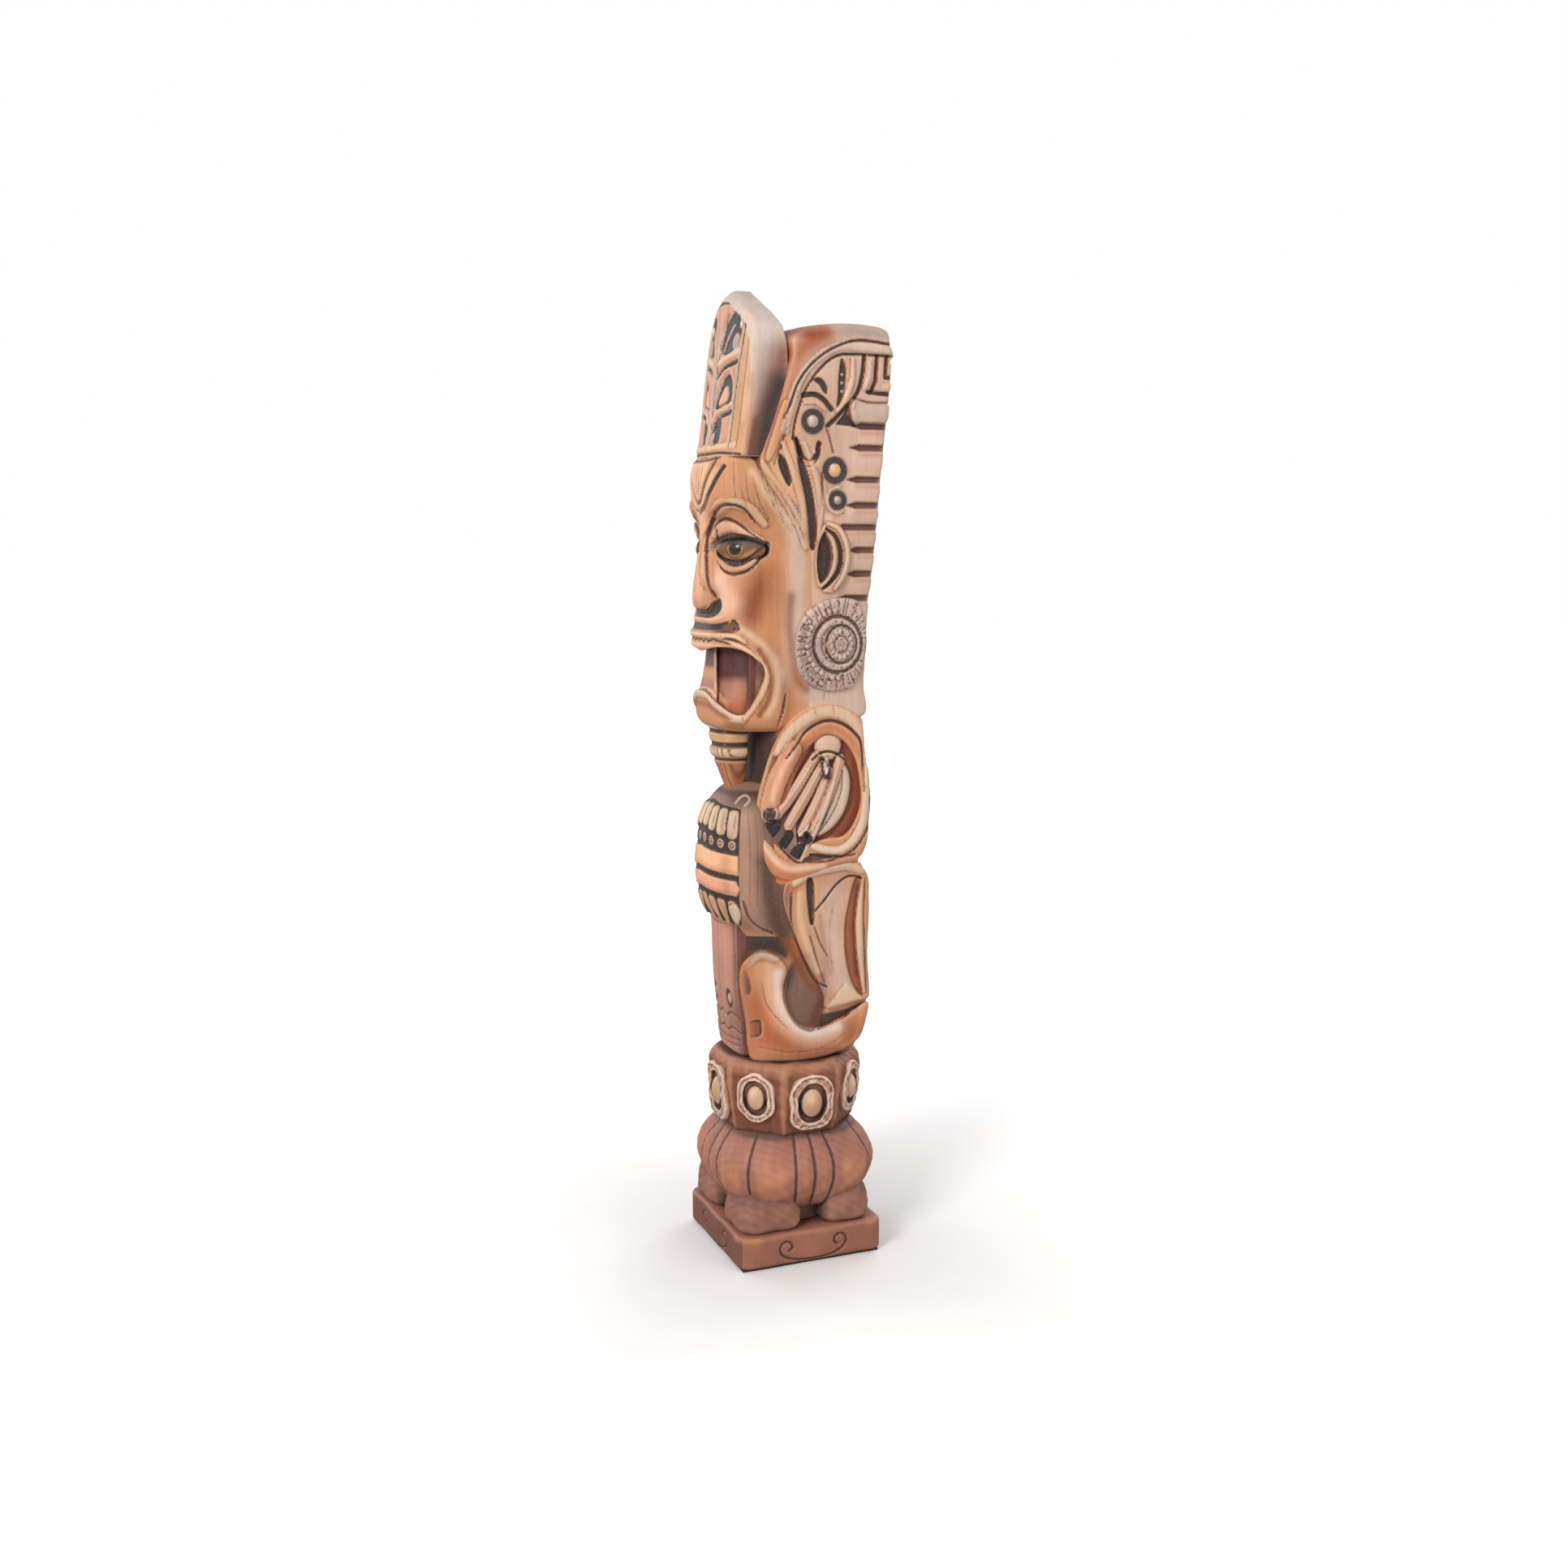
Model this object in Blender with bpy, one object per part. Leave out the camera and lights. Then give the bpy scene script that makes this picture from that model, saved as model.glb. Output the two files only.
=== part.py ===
"""Carved tiki figure on a square plinth, as an assembly of separate wooden pieces.

The frame has +Z up, its origin under the middle of the plinth, and the figure faces -Y.
Every length below is in millimetres and becomes metres when a mesh is made.
"""

import math

import bmesh
import bpy
from mathutils import Matrix, Vector

MM = 0.001

# Driving dimensions
TOTAL_HEIGHT = 495.0
PLINTH_SIDE = 80.0
FELT_SIDE = 76.0
HALF_WIDTH = 34.0  # of the figure, over its side plates
CORE_HALF_WIDTH = 28.0  # of the blocks that the side plates are glued to
GAP = 0.3  # glue line between neighbours

# Heights of the joints between the stacked blocks
FELT_TOP = 1.0
PLINTH_TOP = 18.0
FEET_TOP = 31.7
BULB_TOP = 67.0
COLLAR_TOP = 106.7
WAIST = 211.7
SHOULDER = 283.0
CROWN = 412.0
HEADDRESS_TOP = 476.5

# Jewel collar
COLLAR_APOTHEM = 36.0
FRAME_DEPTH = 3.2
STATIONS = ("front", "front_left", "left", "back_left", "back", "back_right", "right", "front_right")

# Joinery
FOOT_DOWEL_RADIUS = 3.0
BODY_DOWEL_RADIUS = 6.0
PEG_RADIUS = 2.5

RING_POINTS = 24
JEWEL_POINTS = 16
SIDES = {"left": 1, "right": -1}


# ---------------------------------------------------------------- materials


def material(name, colour, roughness, metallic=0.0):
    """Principled material with one base colour."""
    made = bpy.data.materials.new(name)
    made.use_nodes = True
    shader = made.node_tree.nodes["Principled BSDF"]
    shader.inputs["Base Color"].default_value = (*colour, 1.0)
    shader.inputs["Roughness"].default_value = roughness
    shader.inputs["Metallic"].default_value = metallic
    made.diffuse_color = (*colour, 1.0)
    return made


# ------------------------------------------------------------ mesh builders


def finish(name, shape, finish_material=None, bevel=0.0):
    """Turn a bmesh drawn in millimetres into a smooth-shaded object in metres."""
    bmesh.ops.recalc_face_normals(shape, faces=shape.faces)
    bmesh.ops.scale(shape, vec=(MM, MM, MM), verts=shape.verts)
    mesh = bpy.data.meshes.new(name)
    shape.to_mesh(mesh)
    shape.free()
    mesh.shade_smooth()
    mesh.set_sharp_from_angle(angle=math.radians(35))
    piece = bpy.data.objects.new(name, mesh)
    bpy.context.scene.collection.objects.link(piece)
    if finish_material:
        mesh.materials.append(finish_material)
    if bevel:
        rounding = piece.modifiers.new("rounded_edges", "BEVEL")
        rounding.width = bevel * MM
        rounding.segments = 1
        rounding.limit_method = "ANGLE"
        rounding.angle_limit = math.radians(40)
    return piece


def as_cutter(piece):
    """Hide an object that only cuts its neighbours."""
    piece.hide_render = True
    piece.display_type = "WIRE"
    return piece


def cut(piece, *cutters):
    """Remove each cutter's volume from a piece."""
    for cutter in cutters:
        difference = piece.modifiers.new(f"cut_by_{cutter.name}"[:60], "BOOLEAN")
        difference.operation = "DIFFERENCE"
        difference.object = cutter


def rounded_power(value, power):
    """Signed power of a sine or cosine, which squares off a circle."""
    return math.copysign(abs(value) ** (2.0 / power), value)


def section(z, half_x, front, back, widest=None, power=3.0, back_power=None, grow=0.0):
    """Horizontal superellipse from y = front to y = back, widest at y = widest."""
    centre = (front + back) / 2 if widest is None else widest
    ring = []
    for step in range(RING_POINTS):
        angle = math.tau * step / RING_POINTS
        behind = math.sin(angle) > 0
        exponent = back_power if behind and back_power else power
        depth = (back - centre if behind else centre - front) + grow
        x = (half_x + grow) * rounded_power(math.cos(angle), exponent)
        y = centre + depth * rounded_power(math.sin(angle), exponent)
        ring.append(Vector((x, y, z)))
    return ring


def loft(name, rings, finish_material=None, bevel=0.0):
    """Closed solid through a stack of rings with equal numbers of points."""
    shape = bmesh.new()
    levels = [[shape.verts.new(point) for point in ring] for ring in rings]
    for lower, upper in zip(levels, levels[1:]):
        for here in range(len(lower)):
            after = (here + 1) % len(lower)
            shape.faces.new((lower[here], lower[after], upper[after], upper[here]))
    shape.faces.new(reversed(levels[0]))
    shape.faces.new(levels[-1])
    return finish(name, shape, finish_material, bevel)


def spread(rings, grow):
    """Move the end rings of a stack apart by the same amount as its sides grow."""
    for point in rings[0]:
        point.z -= grow
    for point in rings[-1]:
        point.z += grow
    return rings


def smooth_outline(corners, steps=2):
    """Closed Catmull-Rom curve through the corners."""
    count = len(corners)
    points = []
    for index in range(count):
        before, start, end, after = (Vector(corners[(index + k) % count]) for k in (-1, 0, 1, 2))
        for step in range(steps):
            t = step / steps
            curve = 2 * start + (end - before) * t
            curve += (2 * before - 5 * start + 4 * end - after) * t**2
            curve += (3 * start - before - 3 * end + after) * t**3
            points.append(curve / 2)
    return points


def offset_outline(points, distance):
    """Move a counter-clockwise outline outwards."""
    moved = []
    for before, here, after in zip(points[-1:] + points[:-1], points, points[1:] + points[:1]):
        along = (after - before).normalized()
        moved.append(here + Vector((along.y, -along.x)) * distance)
    return moved


def plate(name, outline, inner, outer, place, finish_material=None, bevel=0.0, hole=None):
    """Flat plate between two depths. place(u, v, depth) puts an outline point in space."""
    shape = bmesh.new()
    loops = []
    for depth in (inner, outer):
        for loop in [outline] + ([hole] if hole else []):
            loops.append([shape.verts.new(place(point.x, point.y, depth)) for point in loop])
    half = len(loops) // 2
    for near, far in zip(loops[:half], loops[half:]):
        for here in range(len(near)):
            after = (here + 1) % len(near)
            shape.faces.new((near[here], near[after], far[after], far[here]))
    for end in (loops[:half], loops[half:]):
        if hole:
            bridge_rims(shape, *end)
        else:
            shape.faces.new(end[0])
    return finish(name, shape, finish_material, bevel)


def bridge_rims(shape, outer_loop, inner_loop):
    """Flat face between an outline and the hole inside it, which has as many points."""
    for here in range(len(outer_loop)):
        after = (here + 1) % len(outer_loop)
        corners = (outer_loop[here], outer_loop[after], inner_loop[after], inner_loop[here])
        shape.faces.new(corners)


def on_side(side):
    """Placement for a side plate: u runs along +Y, v along +Z, depth outwards."""
    return lambda u, v, depth: Vector((side * depth, u, v))


def rod(name, radius, start, end, finish_material=None, segments=16):
    """Round bar between two points."""
    start, end = Vector(start), Vector(end)
    shape = bmesh.new()
    turn = (end - start).to_track_quat("Z", "Y").to_matrix().to_4x4()
    bmesh.ops.create_cone(
        shape,
        cap_ends=True,
        segments=segments,
        radius1=radius,
        radius2=radius,
        depth=(end - start).length,
        matrix=Matrix.Translation((start + end) / 2) @ turn,
    )
    return finish(name, shape, finish_material)


def block(name, low, high, finish_material=None, bevel=0.0):
    """Rectangular block between two corners."""
    low, high = Vector(low), Vector(high)
    shape = bmesh.new()
    bmesh.ops.create_cube(shape, size=1.0)
    bmesh.ops.scale(shape, vec=high - low, verts=shape.verts)
    bmesh.ops.translate(shape, vec=(low + high) / 2, verts=shape.verts)
    return finish(name, shape, finish_material, bevel)


def pin(name, radius, start, end, finish_material, *holders):
    """Dowel between two points, and its hole, one glue line larger, in each holder."""
    start, end = Vector(start), Vector(end)
    slack = (end - start).normalized() * GAP
    rod(name, radius, start, end, finish_material)
    hole = as_cutter(rod(f"hole_for_{name}", radius + GAP, start - slack, end + slack))
    for holder in holders:
        cut(holder, hole)


# -------------------------------------------------------------------- base


def make_felt(wood):
    half = FELT_SIDE / 2
    block("felt_pad", (-half, -half, 0), (half, half, FELT_TOP), wood["felt"])


def make_plinth(wood):
    half = PLINTH_SIDE / 2
    low = (-half, -half, FELT_TOP + GAP)
    return block("plinth", low, (half, half, PLINTH_TOP), wood["terracotta"], bevel=2.0)


def make_foot(name, x, y, half, wood):
    """Stubby rounded foot under one corner of the bulb."""
    swell = ((PLINTH_TOP + GAP, 0.86), (22.0, 1.0), (28.0, 1.0), (FEET_TOP, 0.88))
    rings = []
    for z, share in swell:
        ring = section(z, half * share, y - half * share, y + half * share, power=2.6)
        rings.append([point + Vector((x, 0, 0)) for point in ring])
    return loft(name, rings, wood["terracotta"])


def make_bulb(wood):
    """Squat cushion-shaped bulb with vertical flutes."""
    profile = ((32.0, 30.0), (38.0, 37.5), (45.0, 40.5), (54.0, 41.5), (61.0, 38.5), (BULB_TOP, 33.5))
    flutes = 16
    rings = []
    for z, radius in profile:
        ring = []
        for step in range(2 * RING_POINTS):
            angle = math.tau * step / (2 * RING_POINTS)
            lobe = 1.0 - 0.035 * (1.0 - abs(math.sin(flutes * angle / 2)))
            x = radius * lobe * rounded_power(math.cos(angle), 2.8)
            y = radius * lobe * rounded_power(math.sin(angle), 2.8)
            ring.append(Vector((x, y, z)))
        rings.append(ring)
    return loft("fluted_bulb", rings, wood["terracotta"])


def octagon(z, apothem):
    """Regular octagon with its flats facing the four axes and the diagonals."""
    radius = apothem / math.cos(math.pi / 8)
    angles = [math.pi / 8 + math.tau * k / 8 for k in range(8)]
    return [Vector((radius * math.cos(a), radius * math.sin(a), z)) for a in angles]


def make_collar(wood):
    bottom = BULB_TOP + GAP
    rings = [
        octagon(bottom, COLLAR_APOTHEM - 3.0),
        octagon(bottom + 2.5, COLLAR_APOTHEM),
        octagon(COLLAR_TOP - 3.0, COLLAR_APOTHEM),
        octagon(COLLAR_TOP, COLLAR_APOTHEM - 2.5),
    ]
    return loft("jewel_collar", rings, wood["terracotta"], bevel=1.0)


def oval(half_u, half_v, power, points, centre_v):
    """Superellipse outline around (0, centre_v)."""
    angles = [math.tau * k / points for k in range(points)]
    return [
        Vector(
            (
                half_u * rounded_power(math.cos(a), power),
                centre_v + half_v * rounded_power(math.sin(a), power),
            )
        )
        for a in angles
    ]


def make_jewels(wood):
    """Eight framed cabochons round the collar: square frames on the axes, oval between."""
    for index, station in enumerate(STATIONS):
        turn = Matrix.Rotation(index * math.tau / 8, 3, "Z")
        diagonal = index % 2

        def place(u, v, depth, turn=turn):
            return turn @ Vector((u, -depth, v))

        half_u, half_v, power, z = (11.0, 13.5, 2.0, 88.0) if diagonal else (12.5, 15.0, 4.0, 86.5)
        rim = oval(half_u, half_v, power, JEWEL_POINTS, z)
        opening = oval(half_u - 4.0, half_v - 5.0, power, JEWEL_POINTS, z)
        inner = COLLAR_APOTHEM + GAP
        outer = inner + FRAME_DEPTH
        frame = f"medallion_frame_{station}"
        plate(frame, rim, inner, outer, place, wood["worn_gold"], 0.6, opening)
        make_cabochon(f"cabochon_{station}", half_u - 5.0, half_v - 6.0, z, place, wood)


def make_cabochon(name, half_u, half_v, z, place, wood):
    """Domed oval stone in the middle of a frame."""
    base = COLLAR_APOTHEM + GAP
    rings = []
    for rise, share in ((0.0, 1.0), (1.8, 0.97), (3.4, 0.78), (4.4, 0.4)):
        outline = oval(half_u * share, half_v * share, 2.2, JEWEL_POINTS, z)
        rings.append([place(point.x, point.y, base + rise) for point in outline])
    loft(name, rings, wood["worn_gold"])


# -------------------------------------------------------------- lower body

LEG_OUTLINE = (
    (-30, 110), (-10, 107.5), (10, 108), (23, 114), (31, 126), (32, 135.5),
    (20, 133), (10, 126), (-2, 121.5), (-12, 129), (-15.5, 142), (-14, 154),
    (-16, 163), (-24, 167), (-33, 163), (-38, 152), (-38.5, 130), (-36, 117),
)  # fmt: skip
THIGH_OUTLINE = (
    (-7, 158), (0, 150), (8, 144), (18, 138.5), (31, 138), (33.5, 150),
    (34, 178), (34, 199), (28, 205.5), (13, 206), (2, 201.5), (-8, 196.5),
    (-13, 188), (-14.5, 176), (-12.5, 166),
)  # fmt: skip


def make_lower_body(wood):
    """Squatting hips and shins, behind and below the belly."""
    width = CORE_HALF_WIDTH
    rings = [
        section(COLLAR_TOP + GAP, width, -32, 26, power=5),
        section(116, width, -33, 29, power=5),
        section(136, width, -33.5, 33, power=5),
        section(166, width, -33.5, 33, power=5),
        section(196, width, -25, 34, power=5),
        section(204, width, -20, 33, power=5),
        section(WAIST, width, -18, 29, power=5),
    ]
    return loft("lower_body", rings, wood["golden_wood"])


def make_loincloth(wood):
    """Flat apron down the front of the legs."""
    low = (-25, -39.5, COLLAR_TOP + GAP + 1.0)
    high = (25, -33.5 - GAP, 168)
    return block("loincloth", low, high, wood["terracotta"], bevel=1.6)


def make_side_plates(name, outline, inner, outer, finish_material, bevel):
    """The same plate on the left and on the right."""
    for side_name, side in SIDES.items():
        points = smooth_outline(outline)
        plate(f"{side_name}_{name}", points, inner, outer, on_side(side), finish_material, bevel)


def make_side_seats(name, outline):
    """Cutters one glue line larger than a pair of side plates."""
    seats = []
    for side_name, side in SIDES.items():
        points = offset_outline(smooth_outline(outline), GAP)
        seat = plate(f"seat_for_{side_name}_{name}", points, CORE_HALF_WIDTH, HALF_WIDTH + 2, on_side(side))
        seats.append(as_cutter(seat))
    return seats


def make_legs(wood):
    inner = CORE_HALF_WIDTH + GAP
    make_side_plates("leg", LEG_OUTLINE, inner, HALF_WIDTH, wood["golden_wood"], 1.6)
    make_side_plates("thigh", THIGH_OUTLINE, inner, HALF_WIDTH + 0.5, wood["golden_wood"], 1.6)


# -------------------------------------------------------------- upper body

BELLY_BACK = -8.0
BELLY_PROFILE = (  # z, half width, front
    (171.0, 20.0, -34.0),
    (178.0, 28.0, -41.0),
    (189.0, 32.5, -46.5),
    (203.0, 33.5, -48.0),
    (220.0, 33.0, -46.5),
    (232.0, 31.5, -44.5),
    (243.0, 27.0, -39.0),
    (248.5, 21.0, -33.0),
)
BREASTPLATE_DEPTH = 2.5

ARM_OUTLINE = (
    (-33, 224), (-29, 209), (-22, 201), (-12, 200.5), (0, 205), (10, 211.5),
    (22, 214), (30, 224), (33, 243), (32.5, 262), (28, 279), (20, 287.5),
    (10, 290.5), (-2, 288), (-14, 280), (-21, 265), (-24, 248), (-31, 241),
)  # fmt: skip
ARM_OPENING = (
    (-23, 230), (-19, 223), (-14, 217), (-8, 211.5), (0, 213.5), (9, 219),
    (18, 222), (25, 229), (28, 242), (26, 257), (22, 268.5), (16, 275),
    (9, 277), (2, 273.5), (-4, 264), (-9, 253), (-14, 243), (-20, 236),
)  # fmt: skip
HAND_OUTLINE = (
    (-19, 228), (-13, 220), (-7, 213.5), (0, 216), (9, 222), (18, 226),
    (23, 238), (23, 252), (19, 262), (11, 265), (4, 262), (-4, 250), (-11, 241),
)  # fmt: skip


def belly_rings(grow=0.0):
    """D-shaped sections: round in front, flat at the back."""
    rings = []
    for z, half_x, front in BELLY_PROFILE:
        ring = section(z, half_x, front, -front - 26, widest=-13, power=2.5, grow=grow)
        for point in ring:
            point.y = min(point.y, BELLY_BACK + grow + abs(point.x) * 0.001)
        rings.append(ring)
    return spread(rings, grow)


def make_belly(wood):
    return loft("belly", belly_rings(), wood["brown_wood"])


def breastplate_rings(grow=0.0):
    """C-shaped sections wrapped round the front of the belly."""
    reach = math.radians(52) + grow * 0.02
    steps = 16
    rings = []
    for z, half_x, front in BELLY_PROFILE[2:7]:
        outer, inner = [], []
        for step in range(steps + 1):
            angle = -math.pi / 2 - reach + 2 * reach * step / steps
            across = rounded_power(math.cos(angle), 2.5)
            ahead = rounded_power(math.sin(angle), 2.5)
            for arc, depth in ((outer, 0.6 + grow), (inner, -BREASTPLATE_DEPTH - grow)):
                x = (half_x + depth) * across
                y = -13 + (-13 - front + depth) * ahead
                arc.append(Vector((x, y, z)))
        rings.append(outer + inner[::-1])
    return spread(rings, grow)


def make_breastplate(wood, belly):
    """Banded plate of teeth, rings and stripes let into the front of the belly."""
    loft("breastplate", breastplate_rings(), wood["cream"])
    cut(belly, as_cutter(loft("seat_for_breastplate", breastplate_rings(GAP))))


def torso_rings(grow=0.0):
    width = CORE_HALF_WIDTH
    rings = [
        section(WAIST + GAP, width - 1, -16, 29, power=4, grow=grow),
        section(222, width, -18, 32, power=4, grow=grow),
        section(246, width, -19, 34, power=4, grow=grow),
        section(268, width, -18, 31, power=4, grow=grow),
        section(SHOULDER, width - 2, -14, 29, power=4, grow=grow),
    ]
    return spread(rings, grow)


def make_torso(wood):
    return loft("torso", torso_rings(), wood["golden_wood"])


def make_arms(wood):
    """Shoulder arches that turn under into forearms, each as a ring-shaped plate."""
    inner = CORE_HALF_WIDTH + GAP
    outline = smooth_outline(ARM_OUTLINE)
    opening = smooth_outline(ARM_OPENING)
    for side_name, side in SIDES.items():
        name = f"{side_name}_arm"
        place = on_side(side)
        plate(name, outline, inner, HALF_WIDTH + 0.5, place, wood["golden_wood"], 1.2, opening)


def make_hands(wood):
    inner = CORE_HALF_WIDTH + GAP
    make_side_plates("hand", HAND_OUTLINE, inner, inner + 4.0, wood["cream"], 1.2)


# -------------------------------------------------------------------- head

HEAD_BACK = 19.7
HEAD_PROFILE = (  # z, half width, front
    (284.0, 30.0, -45.0),
    (290.0, 33.0, -45.5),
    (318.0, 34.0, -44.0),
    (330.0, 34.0, -46.0),
    (366.0, 33.5, -45.0),
    (396.0, 33.5, -46.0),
    (CROWN, 32.5, -43.0),
)
EYE = (26.5, -35.5, 367.0)
EYE_HALF = (9.0, 3.0, 4.5)
EYE_TURN = math.radians(49)


def make_head(wood):
    """Head with an overhanging chin, a nose ridge and an open mouth."""
    rings = [section(277, 19, -44, -20, power=3)]
    for z, half_x, front in HEAD_PROFILE:
        rings.append(section(z, half_x, front, HEAD_BACK, widest=-6, power=3, back_power=9))
    head = loft("head", rings, wood["golden_wood"])
    mouth = [section(z, width, -64, -22) for z, width in ((288, 19), (292, 25), (304, 27.5), (313, 25), (318, 18))]
    cut(head, as_cutter(loft("mouth_opening", mouth)))
    return head


def make_tongue(wood):
    block("tongue", (-12, -43, 288.3), (12, -23, 295.5), wood["rust"], bevel=2.4)


def eye_shape(name, side, grow, finish_material=None):
    """Lens-shaped inlay on the slanting front of the cheek."""
    shape = bmesh.new()
    turn = Matrix.Rotation(side * EYE_TURN, 4, "Z")
    size = Matrix.Diagonal((*(half + grow for half in EYE_HALF), 1.0))
    place = Matrix.Translation((side * EYE[0], EYE[1], EYE[2]))
    bmesh.ops.create_uvsphere(shape, u_segments=16, v_segments=8, radius=1.0, matrix=place @ turn @ size)
    return finish(name, shape, finish_material)


def make_eyes(wood, head):
    for side_name, side in SIDES.items():
        eye_shape(f"{side_name}_eye", side, 0.0, wood["cream"])
        cut(head, as_cutter(eye_shape(f"{side_name}_eye_socket", side, GAP)))


def make_beard(wood):
    """Tapered false beard under the chin."""
    rings = [
        section(250, 7, -40, -33),
        section(256, 10.5, -41, -31.5),
        section(264, 14, -41.5, -30),
        section(276.7, 18, -42.5, -28),
    ]
    loft("beard", rings, wood["golden_wood"])


def make_ears(wood):
    """Ear shell on each side, and the pitted spool that hangs below it."""
    ear = ((5, 350), (12, 347), (18.5, 352), (20, 364), (18, 375), (11, 380), (5, 376), (3.5, 363))
    inner = HALF_WIDTH + GAP
    make_side_plates("ear", ear, inner, inner + 2.5, wood["golden_wood"], 0.8)
    for side_name, side in SIDES.items():
        outline = oval(19.0, 23.0, 3.2, 32, 320.0)
        centred = [point + Vector((9.5, 0)) for point in outline]
        name = f"{side_name}_ear_spool"
        plate(name, centred, inner, inner + 5.0, on_side(side), wood["mauve_stone"], 1.5)


# --------------------------------------------------------------- headdress

HEADDRESS_PROFILE = (
    (-17, CROWN), (-14, 436), (-11, 455), (-12, 467), (-6, 471.5), (6, 475),
    (20, HEADDRESS_TOP), (33, 476), (42, 473), (44.5, 465), (41, 430), (37.5, 400),
    (35, 366), (31.5, 343), (30.5, 312), (29, SHOULDER + 1.3), (-17, SHOULDER + 1.3),
)  # fmt: skip
CREST_HALF_OUTLINE = ((30.5, CROWN + GAP), (32, 432), (31, 455), (29.5, 470), (26.5, 478.5), (15, 488))
CREST_FRONT = -35.0
CREST_BACK = -20.5
CREST_LEAN = 0.1


def make_headdress(wood, arm_cutters):
    """Tall hood over the crown and down the nape: one block with the head's place cut out."""
    outline = [Vector(point) for point in HEADDRESS_PROFILE]
    place = on_side(1)
    hood = plate("headdress", outline, -HALF_WIDTH, HALF_WIDTH, place, wood["golden_wood"], bevel=1.8)
    head_low = (-HALF_WIDTH - 5, -60, SHOULDER - 5)
    head_high = (HALF_WIDTH + 5, HEAD_BACK + GAP, CROWN + GAP)
    cut(hood, as_cutter(block("seat_for_head", head_low, head_high)), *arm_cutters)
    return hood


def make_crest(wood):
    """Upright gothic-arch board on the brow, leaning back slightly."""
    tip = Vector((0, TOTAL_HEIGHT))
    right = [Vector(point) for point in CREST_HALF_OUTLINE]
    left = [Vector((-point.x, point.y)) for point in reversed(right)]

    def place(u, v, depth):
        return Vector((u, depth + CREST_LEAN * (v - CROWN), v))

    return plate("crest", right + [tip] + left, CREST_FRONT, CREST_BACK, place, wood["slate_paint"], bevel=1.6)


# ---------------------------------------------------------------- assembly


def make_materials():
    """One finish for each kind of surface."""
    return {
        "golden_wood": material("golden_wood", (0.55, 0.30, 0.13), 0.55),
        "brown_wood": material("brown_wood", (0.36, 0.20, 0.12), 0.6),
        "terracotta": material("terracotta_wash", (0.40, 0.17, 0.11), 0.65),
        "worn_gold": material("worn_gold_paint", (0.62, 0.44, 0.27), 0.5),
        "cream": material("cream_paint", (0.72, 0.58, 0.40), 0.5),
        "rust": material("rust_paint", (0.30, 0.10, 0.06), 0.6),
        "mauve_stone": material("mauve_stone_paint", (0.33, 0.23, 0.21), 0.75),
        "slate_paint": material("slate_paint", (0.42, 0.33, 0.28), 0.55),
        "felt": material("dark_felt", (0.03, 0.028, 0.026), 0.95),
        "dowel": material("pale_dowel_wood", (0.60, 0.45, 0.28), 0.7),
    }


def make_joinery(wood, plinth, feet, bulb, collar, lower_body, torso, head, hood, crest):
    """Glued dowels that hold the stacked blocks together."""
    dowel = wood["dowel"]
    for name, (foot, x, y) in feet.items():
        pin(f"{name}_dowel", FOOT_DOWEL_RADIUS, (x, y, 8), (x, y, 42), dowel, plinth, foot, bulb)
    pin("collar_dowel", BODY_DOWEL_RADIUS, (0, 0, 50), (0, 0, 124), dowel, bulb, collar, lower_body)
    pin("waist_dowel", BODY_DOWEL_RADIUS, (0, 12, 195), (0, 12, 230), dowel, lower_body, torso)
    pin("neck_dowel", BODY_DOWEL_RADIUS, (0, 5, 265), (0, 5, 301), dowel, torso, head)
    pin("headdress_dowel", BODY_DOWEL_RADIUS - 2, (0, 6, 372), (0, 30, 372), dowel, head, hood)
    pin("crest_peg", PEG_RADIUS, (0, -27, 402), (0, -27, 424), dowel, head, crest)
    for side_name, side in SIDES.items():
        spool = bpy.data.objects[f"{side_name}_ear_spool"]
        start, end = (side * 26, 9.5, 320), (side * 37, 9.5, 320)
        pin(f"{side_name}_spool_peg", PEG_RADIUS, start, end, dowel, head, spool)


def main():
    for leftover in list(bpy.data.objects):
        bpy.data.objects.remove(leftover)
    wood = make_materials()
    make_felt(wood)
    plinth = make_plinth(wood)
    feet = {}
    for side_name, side in SIDES.items():
        for row, y, half in (("front", -19.0, 17.5), ("back", 21.0, 14.0)):
            x = side * (37.0 - half)
            name = f"{row}_{side_name}_foot"
            feet[name] = (make_foot(name, x, y, half, wood), x, y)
    bulb = make_bulb(wood)
    collar = make_collar(wood)
    make_jewels(wood)
    lower_body = make_lower_body(wood)
    make_loincloth(wood)
    make_legs(wood)
    belly = make_belly(wood)
    make_breastplate(wood, belly)
    torso = make_torso(wood)
    make_arms(wood)
    arm_cutters = make_side_seats("arm", ARM_OUTLINE)
    make_hands(wood)
    head = make_head(wood)
    make_tongue(wood)
    make_eyes(wood, head)
    make_beard(wood)
    make_ears(wood)
    hood = make_headdress(wood, arm_cutters)
    crest = make_crest(wood)

    belly_cutter = as_cutter(loft("seat_for_belly", belly_rings(GAP)))
    torso_cutter = as_cutter(loft("seat_for_torso", torso_rings(GAP)))
    cut(belly, *arm_cutters, *make_side_seats("thigh", THIGH_OUTLINE))
    cut(lower_body, belly_cutter)
    cut(torso, belly_cutter)
    cut(head, torso_cutter, *arm_cutters)
    make_joinery(wood, plinth, feet, bulb, collar, lower_body, torso, head, hood, crest)


main()
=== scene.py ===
"""Looks of the carved tiki figure.

Each wooden block of the frame is carved again in fine detail. A piece starts as a solid form in a
grid of points, takes relief and paint from flat drawings laid over its side, front and back, and
gets a skin of quads. Lengths are millimetres in the figure's own frame until a mesh is made: +Z is
up, the figure faces -Y and its left side is +X.
"""

import math

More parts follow.
